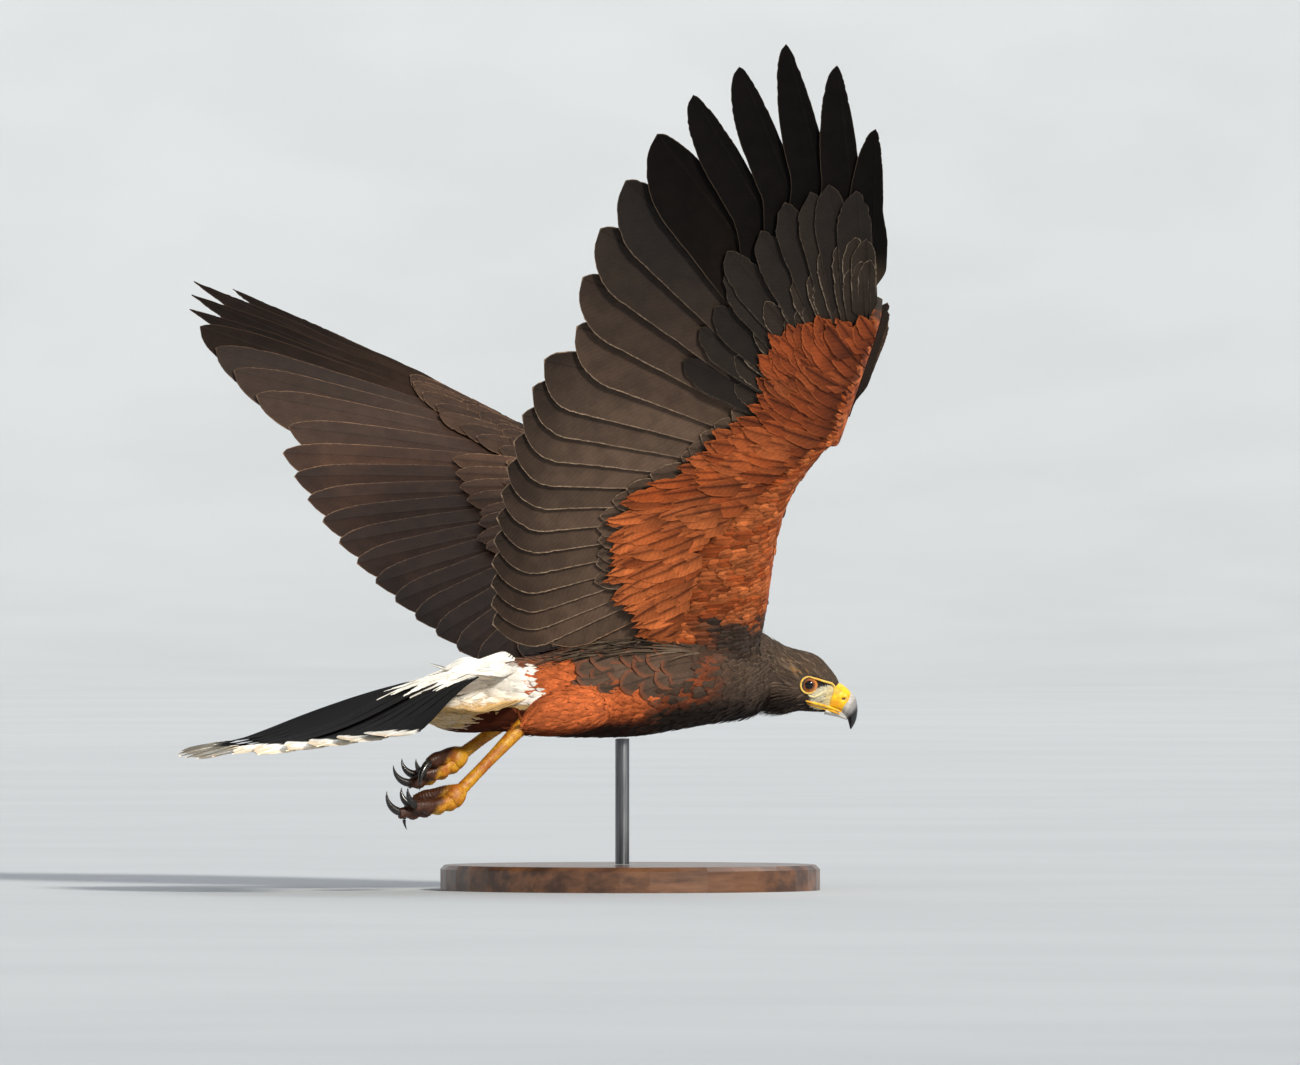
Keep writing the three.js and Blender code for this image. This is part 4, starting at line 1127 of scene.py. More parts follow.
def upper_coverts(w, j, seed):
    """Rows of the upper side and the alula. The left wing's alula lies closer to the wrist."""
    brown = flat(COVERT_BROWN, BUFF, 0.85, 0.3, DEEP_BROWN, 0.3)
    dark = flat(mix(UPPER_BROWN, DEEP_BROWN, 0.3), BUFF, 0.5, 0.3)
    rows = covert_row(w, j, seed, "arm", 13, 108, 3.8, 3, 26, brown)
    rows += covert_row(w, j, seed + 1, "arm", 15, 72, 5.6, 6, 21, brown)
    rows += covert_row(w, j, seed + 2, "arm", 16, 42, 7.4, 9, 17, brown)
    rows += covert_row(w, j, seed + 3, "hand", 10, 92, 4.2, 4, 22, dark, 0.93)
    rows += covert_row(w, j, seed + 4, "hand", 10, 46, 5.8, 5, 17, dark, 0.93)
    alula = flat(mix(UPPER_BROWN, BLACK, 0.75), BUFF, 0.3, 0.2)
    for k in range(4):
        ahead, turn, length = (5 + k, 9 - 4 * k, 66 - 10 * k) if w["side"] > 0 else (
            15, 2 - 2 * k, 94 - 13 * k)
        rows.append(covert((j["wrist"][0] + 8 + 6 * k, j["wrist"][1] - ahead),
                           w["hand"] + turn, length, 5.4 + 0.9 * k, 17, alula, tilt=3))
    return rows


def under_coverts(w, j, seed):
    """Grey rows under the arm, which end just behind the lining, and dark ones on the hand."""
    grey = flat(FLIGHT_GREY * 1.05, PALE_RIM, 0.6, 0.2, DEEP_BROWN, 0.4)
    dusk = flat(srgb(32, 25, 20), srgb(110, 94, 78), 0.35, 0.1)
    streaked = flat(srgb(42, 33, 26), srgb(166, 148, 126), 0.5, 0.1, DEEP_BROWN, 0.6)
    rows = covert_row(w, j, seed, "arm", 14, 84, -5.0, 3, 25, grey)
    for f in rows:
        for _ in range(TRIES):
            tip = step((f["u"], f["v"]), f["angle"], f["length"])
            f["length"] += 8 + lining_edge(j, tip[0]) - tip[1]
    rows += covert_row(w, j, seed + 1, "hand", 10, 140, -4.6, 4, 26, dusk, 0.95)
    rows += covert_row(w, j, seed + 2, "hand", 12, 98, -5.3, 0, 19, streaked)
    rows += covert_row(w, j, seed + 3, "hand", 14, 74, -6.0, -8, 14, streaked)
    return rows


def build_wing(name, w):
    chart, *_ = wing_chart(w)
    j = joints(w)
    seed = 40 if name == "right" else 50
    flight = flight_feathers(w, j)
    dark = flight[FIRST_FINGER - 1:len(PRIMARIES)]
    pale = flight[:FIRST_FINGER - 1] + flight[len(PRIMARIES):]
    for part, feathers, stations, across, thick, ridge, ragged, extra, material, node in (
            ("fingers", dark, 64, LONG_VANE, 0.34, 0.55, 0.5, 0, feather_dark, "hand"),
            ("flight_feathers", pale, 56, LONG_VANE, 0.34, 0.55, 0.6, 1, feather_brown, "arm"),
            ("upper_coverts", upper_coverts(w, j, seed + 2), 26, SHORT_VANE, 0.3, 0.35, 0.9, 7,
             covert_brown, None),
            ("under_coverts", under_coverts(w, j, seed + 8), 26, SHORT_VANE, 0.3, 0.35, 1.1, 12,
             covert_brown, None),
            ("lining", lining_rows(w, j, seed + 13), 20, SHORT_VANE, 0.28, 0.2, 1.3, 14,
             lining_feather, None)):
        made = vanes(chart, feathers, stations, across, thick, seed + extra, ridge, ragged)
        vane_piece(f"{part}_{name}", made, material,
                   [f"wing_{name}_{node}"] if node else [])


# Tufts that follow the skin

CROWD = 5  # how many roots are tried for each that finds room


def scatter(regions, spacing, seed, keep=None):
    """Roots spread evenly over regions of the skin, spacing millimetres apart or, where it
    is a function, as far as it says for each place."""
    draw = draws(seed)
    numbers = [region_names.index(r) for r in regions]
    chosen = skin_triangles[np.isin(skin_region[skin_triangles[:, 0]], numbers)]
    a, b, c = (skin_points[chosen[:, k]] for k in range(3))
    area = 0.5 * np.linalg.norm(np.cross(b - a, c - a), axis=1)
    middle = (a + b + c) / 3
    gap = spacing(middle) if callable(spacing) else spacing
    gap = np.broadcast_to(np.asarray(gap, float), area.shape)
    weight = area / gap ** 2
    count = int(weight.sum() * CROWD)
    pick = draw.choice(len(chosen), count, p=weight / weight.sum())
    s, t = draw.uniform(0, 1, (2, count))
    flip = s + t > 1
    s[flip], t[flip] = 1 - s[flip], 1 - t[flip]
    points = a[pick] + (b - a)[pick] * s[:, None] + (c - a)[pick] * t[:, None]
    n = skin_normals
    normals = unit(n[chosen[pick, 0]] * (1 - s - t)[:, None] + n[chosen[pick, 1]] * s[:, None]
                   + n[chosen[pick, 2]] * t[:, None])
    gap = gap[pick]
    if keep is not None:
        mask = keep(points, normals)
        points, normals, gap = points[mask], normals[mask], gap[mask]
    taken = spread_out(points, gap)
    return points[taken], normals[taken]


def spread_out(points, gap):
    """Indices of points that keep their gap from every earlier one."""
    cell = float(gap.max())
    cells = np.floor(points / cell).astype(int)
    grid, taken = {}, []
    near = [(x, y, z) for x in (-1, 0, 1) for y in (-1, 0, 1) for z in (-1, 0, 1)]
    for index, ((px, py, pz), (cx, cy, cz), r) in enumerate(
            zip(points.tolist(), cells.tolist(), gap.tolist())):
        if all((px - qx) ** 2 + (py - qy) ** 2 + (pz - qz) ** 2 >= (0.5 * (r + other)) ** 2
               for x, y, z in near for qx, qy, qz, other in grid.get((cx + x, cy + y, cz + z), ())):
            grid.setdefault((cx, cy, cz), []).append((px, py, pz, r))
            taken.append(index)
    return taken


def along_skin(roots, normals, lie, length, hold, marks=3):
    """Control points that follow the skin from each root along its lie, as long as the
    skin faces the root's own way by at least hold."""
    count = len(roots)
    path = np.empty((count, marks + 1, 3))
    ups = np.empty((count, marks + 1, 3))
    path[:, 0], ups[:, 0] = roots, normals
    heading = unit(lie - normals * dot(lie, normals)[:, None])
    stride = length / marks
    for k in range(1, marks + 1):
        ahead = path[:, k - 1] + heading * stride[:, None]
        ups[:, k] = ups[:, k - 1]
        for i in range(count):
            spot, normal, _, gap = skin_tree.find_nearest(Vector(ahead[i]))
            if (spot is not None and gap < 0.4 * stride[i]
                    and normal.dot(Vector(ups[i, k - 1])) > 0.35
                    and normal.dot(Vector(normals[i])) > hold[i]):
                ahead[i] = spot
                ups[i, k] = mix(ups[i, k - 1], np.array(normal), 0.75)
        ups[:, k] = unit(ups[:, k])
        path[:, k] = ahead
        heading = unit(ahead - path[:, k - 1])
        heading = unit(heading - ups[:, k] * dot(heading, ups[:, k])[:, None])
    return path, ups


ROOT_WIDTH = 0.35  # how wide a tuft is at its root, as a part of its width


def tufts(roots, normals, lie, length, width, lift, paint, seed, uv, stations=7, bend=0.1,
          ragged=0.25, sink=0.6, tip=0.62, crown=0.12, thick=0.13, split=0.0, soft=0.5,
          hold=0.25):
    """Small feathers as thin closed solids that lie along the skin. Their roots sink below
    it and their tips lift off it; ragged and split say how uneven their edges are, and soft
    how far their shading leans outward there."""
    draw = draws(seed)
    count = len(roots)
    length = length * draw.uniform(0.85, 1.15, count)
    width = width * draw.uniform(0.88, 1.12, count)
    lift = lift * draw.uniform(0.7, 1.3, count)
    path, ups = along_skin(roots, normals, lie, length, np.broadcast_to(hold, (count,)))
    t = np.linspace(0, 1, stations) ** 0.9
    marks = path.shape[1] - 1
    place = t * marks
    i = np.clip(np.floor(place).astype(int), 0, marks - 1)
    s = (place - i)[None, :, None]
    centre = path[:, i] * (1 - s) + path[:, i + 1] * s
    up = unit(ups[:, i] * (1 - s) + ups[:, i + 1] * s)
    ahead = unit(np.gradient(centre, axis=1))
    side = unit(np.cross(up, ahead))
    swing = (draw.normal(0, bend, count) * length)[:, None] * t[None, :] ** 2
    fall = np.clip((t - tip) / (1 - tip), 0, 1)
    profile = (mix(ROOT_WIDTH, 1, smooth(t, 0.0, 0.4))
               * np.sqrt(np.clip(1 - fall ** 2.2, 0.004, 1)))
    half = 0.5 * width[:, None] * profile[None, :]
    teeth = draw.uniform(0, ragged, (2, count, stations)) * smooth(t, 0.3, 0.7)[None, None]
    height = -sink * (1 - t[None, :]) ** 2 + lift[:, None] * t[None, :] ** 0.8
    centre = centre + side * swing[..., None] + up * height[..., None]
    left = centre - side * (half * (1 - teeth[0]))[..., None] - up * (crown * half)[..., None]
    right = centre + side * (half * (1 - teeth[1]))[..., None] - up * (crown * half)[..., None]
    if split > 0:
        slip = (draw.uniform(0, split, (2, count, stations)) * smooth(t, 0.4, 1)[None, None]
                * length[None, :, None])
        left, right = left - ahead * slip[0][..., None], right - ahead * slip[1][..., None]
    body = (thick * (1 - 0.6 * t))[None, :, None]
    ring = np.stack([left, centre + up * body, right, centre - up * body], 2)
    lean = soft * side
    tip_lean = ahead * (0.4 * smooth(t, 0.6, 1.0) - 0.08)[None, :, None]
    facing = unit(np.stack([up - lean, up, up + lean, -up], 2) + tip_lean[:, :, None])
    quads = np.vstack([thin_walls(stations, 4), [[0, 3, 2, 1]],
                       [[4 * stations - 4 + n for n in range(4)]]])
    size, per_tuft = stations * 4, len(quads)
    quads = (quads[None] + (np.arange(count) * size)[:, None, None]).reshape(-1, 4)
    base, rim, strength = paint(roots, normals)

    def spread(values):
        return np.repeat(values, size, axis=0)

    zero = np.zeros_like(half)
    edge = np.minimum(np.stack([zero, half, zero, half], -1),
                      (1 - t)[None, :, None] * length[:, None, None])
    across = np.stack([-half, zero, half, zero], -1)
    along = np.broadcast_to((t[None, :, None] * length[:, None, None]), across.shape)
    fields = dict(along=along.ravel(), across=across.ravel(), edge=edge.ravel(),
                  shade=spread(draw.uniform(0, 1, count)), rim=spread(strength),
                  tint=spread(base), fringe=spread(rim))
    flat_t = np.tile(np.repeat(t, 4), count)
    flat_a = np.tile(np.tile([-1, 0, 1, 0], stations), count)
    patch = 0.003 * np.stack([0.5 * flat_a, flat_t], -1)
    return dict(points=ring.reshape(-1, 3), quads=quads, fields=fields, size=size,
                per_tuft=per_tuft, normals=facing.reshape(-1, 3),
                uv=np.repeat(uv(roots), size, axis=0) + patch)


def tuft_piece(name, made, material, replaced=()):
    """One piece, or several numbered ones where the tufts are many."""
    size, per_tuft = made["size"], made["per_tuft"]
    total = len(made["points"]) // size
    chunk = PIECE_LIMIT // (2 * per_tuft)
    for number, first in enumerate(range(0, total, chunk)):
        last = min(first + chunk, total)
        part = slice(first * size, last * size)
        mesh = quad_mesh(name, made["points"][part],
                         made["quads"][first * per_tuft:last * per_tuft] - first * size)
        piece(f"{name}_{number + 1}" if total > chunk else name, material,
              replaced if number == 0 else (), mesh,
              {key: values[part] for key, values in made["fields"].items()},
              made["uv"][part], normals=made["normals"][part])


# Maps: each gives points of one region their places on its unwrap, with a margin about it

def in_margin(along, across):
    return np.stack([0.02 + 0.95 * along, 0.02 + 0.95 * across], -1)


def body_map(points):
    """Along the body, and round its middle line."""
    x, y, z = points.T
    return in_margin((x + 165) / 335, np.arctan2(y, z - 147) / (2 * np.pi) + 0.5)


def wing_map(w):
    """Out and back on the wing's chart."""
    _, unchart, *_ = wing_chart(w)

    def unwrap(points):
        u, v, _ = unchart(points)
        return in_margin((u + 30) / 330, (v + 90) / 200)
    return unwrap


def leg_map(leg):
    """Down the thigh, and round it."""
    hip, ankle, _ = thigh_joints(leg)
    run, left = unit(ankle - hip), np.array([0, 1.0, 0])
    top = np.cross(run, left)

    def unwrap(points):
        d = points - hip
        turn = np.arctan2(d @ left, d @ top) / (2 * np.pi) + 0.5
        return np.stack([0.05 + 0.9 * (d @ run + 30) / 120, 0.02 + 0.95 * turn], -1)
    return unwrap


spine = through([b[:3] for b in BODY] + [tuple(HEAD_AT)], 60)
spine_run = unit(np.gradient(spine, axis=0))


def body_lie(points, normals):
    """Feathers lie backwards along the spine and a little down the flanks."""
    nearest = np.abs(points[:, None, 0] - spine[None, :, 0]).argmin(1)
    down = np.array([0, 0, -1.0]) * (0.18 * (1 - np.abs(normals[:, 2:])))
    return down - spine_run[nearest]


def head_lie(points, normals):
    """From the bill backwards, parting round the eye."""
    f, l, u = head_place(points)
    away = np.stack([f - EYE[0], u - EYE[2]], -1)
    gap = np.linalg.norm(away, axis=1)
    near = np.exp(-((gap - 6.5) / 5) ** 2) * (np.abs(l) > 8)
    lie = -head_forward + 0.25 * np.sign(u)[:, None] * head_up
    ring = (away[:, :1] * head_forward + away[:, 1:] * head_up) / np.maximum(gap, 1)[:, None]
    return lie + ring * (0.7 * near)[:, None]


def brow_height(f):
    """Height of the brow line above the middle of the head, at each place forward."""
    return np.interp(f, [2, 12, 20.4], [11.0, 11.5, 11.9])


def on_face(points):
    """True on bare skin: the eye, the lore and the mouth's corner."""
    f, l, u = head_place(points)
    side = np.abs(l) > 5
    eye = (np.hypot(f - EYE[0], u - EYE[2]) < 6.9) & (np.abs(l) > 9)
    lore = side & (f > 8.5) & (u < brow_height(f) - 0.4) & (u > -6.4)
    gape = side & (f > 6) & (u < -4.6) & (u > -8.2 - 0.02 * f)
    return eye | lore | gape | (f > 25.0)


def flank_share(points):
    """1 on the large grey feathers under the wing's root, 0 away from them."""
    x, _, z = points.T
    return (smooth(x, -34, -22) * smooth(-x, -52, -34) * smooth(z, 148, 154)
            * smooth(-z, -181, -173))


def flank_marks(points, normals):
    """Rounded slate feathers, some darker, with soft rufous edges."""
    pick = draws(12).uniform(size=(len(points), 1))
    base = mix(SLATE_BROWN * 0.6, SLATE_BROWN * 1.05, pick)
    rim = np.tile(mix(SLATE_BROWN, FLANK_RUFOUS, 0.4), (len(points), 1))
    return base, rim, np.full(len(points), 0.55)


def contour_feathers():
    """The fine coat of body and neck: shorter behind, hair-like on the throat."""
    def spacing(p):
        return mix(mix(2.5, 3.4, smooth(p[:, 0], -40, 10)), 2.3, smooth(p[:, 0], 60, 100))

    def keep(p, n):
        return (p[:, 0] > WHITE_FROM - 2) & (p[:, 0] < 112) & (flank_share(p) < 0.5)

    roots, normals = scatter(["body"], spacing, 61, keep)
    neck = smooth(roots[:, 0], 55, 100)
    rear = 1 - smooth(roots[:, 0], -40, 10)
    throat = neck * smooth(-normals[:, 2], 0.3, 0.9)
    made = tufts(roots, normals, body_lie(roots, normals), mix(mix(19, 14, rear), 13, neck),
                 mix(mix(8.5, 4.6, rear), 4.2, neck), mix(1.1, 1.0, neck) + 1.6 * throat,
                 body_marks, 62, body_map, stations=8, tip=0.5, bend=0.07, split=0.08)
    tuft_piece("body_feathers", made, body_feather, ["torso", "neck"])


def flank_feathers():
    roots, normals = scatter(["body"], 8.5, 67, lambda p, n: flank_share(p) > 0.3)
    made = tufts(roots, normals, body_lie(roots, normals), 33, 21, 2.4, flank_marks, 68,
                 body_map, stations=13, ragged=0.1, tip=0.6, bend=0.05, crown=0.24, soft=0.3)
    tuft_piece("flank_feathers", made, flank_feather)


def rump_feathers():
    """White feathers over rump and vent; the ones at the sides reach over the tail's root."""
    def keep(p, n):
        return ((p[:, 0] < WHITE_FROM + 4) & (n[:, 0] > -0.5)
                & (p[:, 0] > np.where(p[:, 2] > 141, -126, -140)))

    roots, normals = scatter(["body", "rump"], 2.9, 63, keep)
    back = smooth(-roots[:, 0], 84, 112)
    over = back * smooth(roots[:, 2], 132, 142) * smooth(np.abs(normals[:, 1]), 0.25, 0.6)
    made = tufts(roots, normals, body_lie(roots, normals), mix(20, 25, back) + 14 * over,
                 mix(9.5, 8.0, back), mix(0.5, 0.8, back) + 1.2 * over, body_marks, 64,
                 body_map, stations=10, ragged=0.18, tip=0.4, bend=0.04, split=0.06,
                 crown=0.05, soft=0.3)
    tuft_piece("rump_feathers", made, white_feather, ["tail_coverts"])


def pit_strands():
    """Hair-like down in the wing's pit and beside the neck."""
    def in_pit(p, n):
        return (p[:, 0] > -50) & (p[:, 0] < 42) & (p[:, 2] > 168) & (np.abs(p[:, 1]) > 16)

    def at_neck(p, n):
        return (np.hypot(p[:, 0] - 86, p[:, 2] - 164) < 6) & (np.abs(p[:, 1]) > 16)

    roots, normals = scatter(["body"], 3.6, 112, in_pit)
    side = np.sign(roots[:, 1:2]) * np.array([[0, 1.0, 0]])
    made = tufts(roots, normals, np.array([[-1.0, 0, 0.1]]) + 0.15 * side, 34, 2.2, 4.0,
                 strand_marks, 113, body_map, stations=8, ragged=0.2, tip=0.2, bend=0.12)
    tuft_piece("axillary_strands", made, head_feather)
    roots, normals = scatter(["body"], 2.4, 114, at_neck)
    made = tufts(roots, normals, np.tile((-0.12, 0, 1.0), (len(roots), 1)), 26, 1.6, 3.0,
                 strand_marks, 115, body_map, stations=8, ragged=0.2, tip=0.2)
    tuft_piece("neck_strands", made, head_feather)


def head_feathers():
    """Short on the face, longer to the nape, and long and loose under the chin."""
    roots, normals = scatter(
        ["head"], lambda p: mix(1.0, 1.5, smooth(-head_place(p)[0], -16, 14)), 65,
        lambda p, n: ~on_face(p))
    forward = head_place(roots)[0]
    back = smooth(-forward, -18, 12)
    throat = (smooth(-normals @ head_up, 0.2, 0.8) * smooth(-forward, -9, 2)
              * smooth(forward, -19, -8))
    made = tufts(roots, normals, head_lie(roots, normals), mix(3.4, 9.5, back) + 4 * throat,
                 mix(1.3, 2.3, back), mix(0.5, 0.9, back) + 4.2 * throat, head_marks, 66,
                 body_map, stations=7, ragged=0.3, tip=0.35, sink=0.3, bend=0.06)
    tuft_piece("head_feathers", made, head_feather, ["head"])


def strand_marks(points, normals):
    """Pale, hair-like down in the wing's pit."""
    pick = draws(9).uniform(size=(len(points), 1))
    base = mix(PALE_BROWN * 0.6, DEEP_BROWN, pick)
    return base, base, np.zeros(len(points))


def head_marks(points, normals):
    """Dark brown with a scatter of paler and golden hair-like tips."""
    base, rim, strength = body_marks(points, normals)
    f, _, u = head_place(points)
    draw = draws(7)
    pale = draw.uniform(0, 0.55, len(points)) * (draw.uniform(size=len(points)) < 0.3)
    base = mix(base, PALE_BROWN, pale[:, None])
    gold = ((draw.uniform(size=len(points)) < 0.22)
            * np.exp(-((f + 1) / 7) ** 2 - ((u - 12) / 5) ** 2))
    base = mix(base, srgb(150, 112, 66), 0.8 * gold[:, None])
    return base, rim, strength


def build_lore():
    """Short bristles over the bare skin before the eye."""
    def bare(p, n):
        f, l, u = head_place(p)
        edge = np.interp(f, [11, 19.5, 22], [3.5, 9.2, 10])
        return (f > 11) & (f < 24) & (np.abs(l) > 5) & (u < edge) & (u > -4)
    roots, normals = scatter(["head"], 1.5, 110, bare)
    lie = -head_forward + 0.5 * head_up * np.sign(head_place(roots)[2] - 3)[:, None]

    def paint(points, normals):
        pick = (draws(8).uniform(size=len(points)) < 0.12)[:, None]
        base = mix(srgb(228, 222, 204), srgb(70, 58, 50), pick)
        return base, base, np.zeros(len(points))
    made = tufts(roots, normals, lie, 3.6, 0.4, 0.5, paint, 111, body_map, stations=5,
                 ragged=0.1, tip=0.2, sink=0.2, bend=0.15, thick=0.08)
    tuft_piece("lore_bristles", made, head_feather)


def build_small_wing_feathers(name, w):
    _, unchart, u_axis, v_axis, normal = wing_chart(w)
    j = joints(w)
    seed = 70 if name == "right" else 80

    def lie(points, normals):
        u = unchart(points)[0]
        places = [0, 70, j["wrist"][0] - 20, j["wrist"][0] + 10, j["tip"][0]]
        angles = [97, mix(95, w["last"], 0.4), w["first"] + 12, w["first"], w["tenth"] + 25]
        angle = np.radians(np.interp(u, places, angles))
        return np.cos(angle)[:, None] * u_axis + np.sin(angle)[:, None] * v_axis

    def front(u, v):
        """How far behind the wing's front line a place lies."""
        return v - np.interp(u, [0, j["wrist"][0], j["tip"][0]],
                             [0, j["wrist"][1], j["tip"][1]])

    for face, under in (("upper", False), ("under", True)):
        sign = -1 if under else 1

        def keep(p, n):
            u, v, _ = unchart(p)
            rear = np.interp(u, [0, j["elbow"][0], j["wrist"][0], j["tip"][0]],
                             [60, j["elbow"][1] + 13, j["wrist"][1] + 8, j["tip"][1] + 5])
            level = mix(-0.15 if under else 0.3, 0.93,
                        smooth(v - rear, -28 if under else -16, -14 if under else -7))
            return ((n @ normal) * sign > level) & (u < j["tip"][0] + 5)

        def spacing(p):
            u, v, _ = unchart(p)
            return mix(2.8, 5.2, smooth(front(u, v), 0, 40))
        roots, normals = scatter(["arm_" + name, "hand_" + name], spacing, seed + sign, keep)
        u, v, _ = unchart(roots)
        back = smooth(front(u, v), -5, 45)
        inner = smooth(u, 5, 40)
        made = tufts(roots, normals, lie(roots, normals), mix(10, 29, back) * mix(0.7, 1, inner),
                     mix(5.4, 12.5, back) * mix(0.7, 1, inner), mix(0.8, 1.9, back),
                     lambda p, n: wing_marks(p, w, under), seed + 5 + sign, wing_map(w),
                     stations=10, tip=0.5, ragged=0.16, bend=0.05, split=0.08, crown=0.16,
                     soft=0.35, hold=mix(0.25, 0.88, smooth(front(u, v), 5, 25)))
        tuft_piece(f"{face}_lesser_{name}", made, lesser_feather)


def build_thigh_feathers(name, leg):
    hip, ankle, _ = thigh_joints(leg)
    seed = 90 if name == "right" else 95
    run = unit(ankle - hip)

    def paint(points, normals):
        # Painted shade: the rufous darkens on the thigh's downward-facing side.
        base = mix(FLANK_RUFOUS, DARK_RUFOUS, smooth(-normals[:, 2], 0.3, 0.9)[:, None])
        return base, np.tile(BRIGHT_RUFOUS, (len(points), 1)), np.full(len(points), 0.4)
    roots, normals = scatter(["thigh_" + name], 2.8, seed)
    made = tufts(roots, normals, np.tile(run, (len(roots), 1)), 16, 4.0, 1.0, paint, seed + 1,
                 leg_map(leg), stations=8, tip=0.4, ragged=0.35, split=0.1)
    tuft_piece(f"thigh_feathers_{name}", made, body_feather, ["thigh_" + name])


# Tail

def tail_paint(k):
    """White at the root, black, and a ragged white end."""
    def paint(t, a, top):
        wander = (0.016 * np.sin(a * 11 + t * 23 + 2.1 * k) + 0.014 * np.sin(a * 31 + 5 * k))
        # Painted sheen across the vane: the black grows lighter towards the trailing side.
        base = np.tile(TAIL_BLACK, (len(t), 1)) * mix(0.8, 1.4, smooth(a, -1, 1))[:, None]
        base = mix(base, WHITE, (1 - smooth(t + wander, 0.16, 0.22))[:, None])
        end = t + wander - 0.05 * np.abs(a) ** 2
        base = mix(base, WHITE, smooth(end, 0.85, 0.875)[:, None])
        base = mix(base, CREAM, (0.6 * smooth(t + wander, 0.93, 1.0))[:, None])
        return base, np.tile(WHITE, (len(t), 1)), 0.0
    return paint


def join_vanes(first, second):
    second["quads"] = second["quads"] + len(first["points"])
    return dict(points=np.vstack([first["points"], second["points"]]),
                quads=np.vstack([first["quads"], second["quads"]]),
                cells=first["cells"] + second["cells"],
                fields={k: np.concatenate([first["fields"][k], second["fields"][k]])
                        for k in first["fields"]})


def fan(place, feathers, stations, across, seed, ragged):
    """The same feathers on both sides of the tail's middle line, on the chart place."""
    halves = []
    for side in (1, -1):
        mine = [f for f in feathers if f["side"] == side]
        made = vanes(lambda u, v, h: place(u, v * side, h), mine, stations, across, 0.34,
                     seed + side, ragged=ragged)
        if side < 0:
            made["quads"] = made["quads"][:, ::-1]
        halves.append(made)
    return join_vanes(*halves)


def upper_covert_place(u, v, height):
    """The tail's chart, raised so that the coverts run from the rump on to the tail."""
    bump = 4.5 * smooth(u, 18, 28) * (1 - smooth(u, 32, 52)) * (1 - smooth(np.abs(v), 6, 16))
    round_off = np.minimum(v * v, 400)
    rise = mix(3 - 0.03 * round_off, 4.6 - 0.01 * round_off, smooth(u, 20, 50)) + bump
    return tail_chart(u - COVERT_START, v, height + rise)


def lower_covert_place(u, v, height):
    return tail_chart(u - COVERT_START, v, height - mix(26, 7.5, smooth(u, 40, 95)))


COVERT_START = 32  # how far before the tail's root its coverts' chart begins
TAIL_PAIRS = 6
# Tail coverts: where the first feather of the first row is rooted and the step to the next, the
# spread, and how many pairs a row has; way is 1 above the tail and -1 below
TAIL_COVERTS = {
    "upper_tail_coverts": dict(place=upper_covert_place, first=1, apart=2.3, spread=30, pairs=6,
                               colour=WHITE, way=1),
    # The lower coverts are white feathers, tinted cream as painted shade.
    "lower_tail_coverts": dict(place=lower_covert_place, first=2, apart=4.2, spread=18, pairs=5,
                               colour=CREAM, way=-1),
}


def tail_feathers():
    feathers = []
    for k in range(TAIL_PAIRS):
        t = (k + 0.5) / TAIL_PAIRS
        for side in (1, -1):
            middle = k == 0
            feathers.append(dict(
                u=-3, v=1.2 + 2 * k, angle=TAIL_SPREAD * t, side=side,
                length=mix(TAIL_LENGTH, TAIL_OUTER, t * t), lead=19 if middle else 24,
                trail=16, height=(1.9 - 0.5 * side) if middle else 0,
                tilt=0 if middle else -3, roll=6 if middle else 14, quill=0.08, tip=0.9,
                round=2.8, swept=0.3, crown=0.02, worn=3.0, spiky=12.0,
                paint=tail_paint(k + 3 * side)))
    return feathers


def tail_covert_rows(c, draw):
    """Three rows, each a little shorter and further forward than the one below it."""
    feathers = []
    for row in range(3):
        for k in range(c["pairs"]):
            for side in (1, -1):
                share = k / (c["pairs"] - 1)
                feathers.append(dict(
                    u=16 - 9 * row, v=c["first"] + c["apart"] * k, side=side,
                    angle=c["spread"] * share + 2 * draw.normal(),
                    length=(84 - 20 * share - 8 * row) * draw.uniform(0.85, 1.1),
                    lead=7, trail=7, height=(0.8 * row + 0.3 * draw.uniform()) * c["way"],
                    tilt=-3, quill=0.05, tip=0.45, round=1.6, swept=0.5, worn=3.0,
                    crown=0.05, paint=flat(c["colour"], WHITE, 0.0)))
    return feathers


def build_tail():
    vane_piece("tail_feathers", fan(tail_chart, tail_feathers(), 64, LONG_VANE, 100, 0.5),
               feather_dark, ["tail"])
    draw = draws(20)
    for name, c in TAIL_COVERTS.items():
        made = fan(c["place"], tail_covert_rows(c, draw), 26, SHORT_VANE, 120, 1.3)
        vane_piece(name, made, white_feather)


# Head: eyes, lids, brow, mouth, cere and bill

def eye_material():
    """Iris, pupil and rim by the angle from the line of sight, stored on the piece."""
    p = Paint("eye_glass")
    r = p.field("off")
    rays = p.noise(700.0, 4.0, 0.7)
    iris = p.blend(rays.ramp(0.35, 0.65), srgb(96, 50, 28), srgb(158, 94, 54))
    iris = p.blend(r.ramp(0.56, 0.72), iris, srgb(196, 124, 62))
    colour = p.blend((r + (rays - 0.5) * 0.02).ramp(0.41, 0.45, 1.0, 0.0), iris,
                     (0.002, 0.002, 0.002))
    return p.finish(colour, 0.12, None, Specular_IOR_Level=0.25, Coat_Weight=0.35,
                    Coat_Roughness=0.03)


def build_eye(name, side):
    """Eyeball, with the clear front standing out a little; off is the angle from its axis."""
    sides = 40
    around = np.linspace(0, 2 * np.pi, sides, endpoint=False)
    polar = np.linspace(0.02, 2.2, 26)
    rings = []
    for a in polar:
        r = EYE_RADIUS * (1 + 0.045 * math.exp(-(a / 0.6) ** 2))
        rings.append(head_at(EYE[0] + r * math.sin(a) * np.cos(around),
                             side * (EYE[1] + r * math.cos(a)),
                             EYE[2] + r * math.sin(a) * np.sin(around)))
    piece(f"eyeball_{name}", eye_glass, [f"eye_{name}"], joined("eyeball", rings),
          dict(off=np.repeat(polar, sides)))


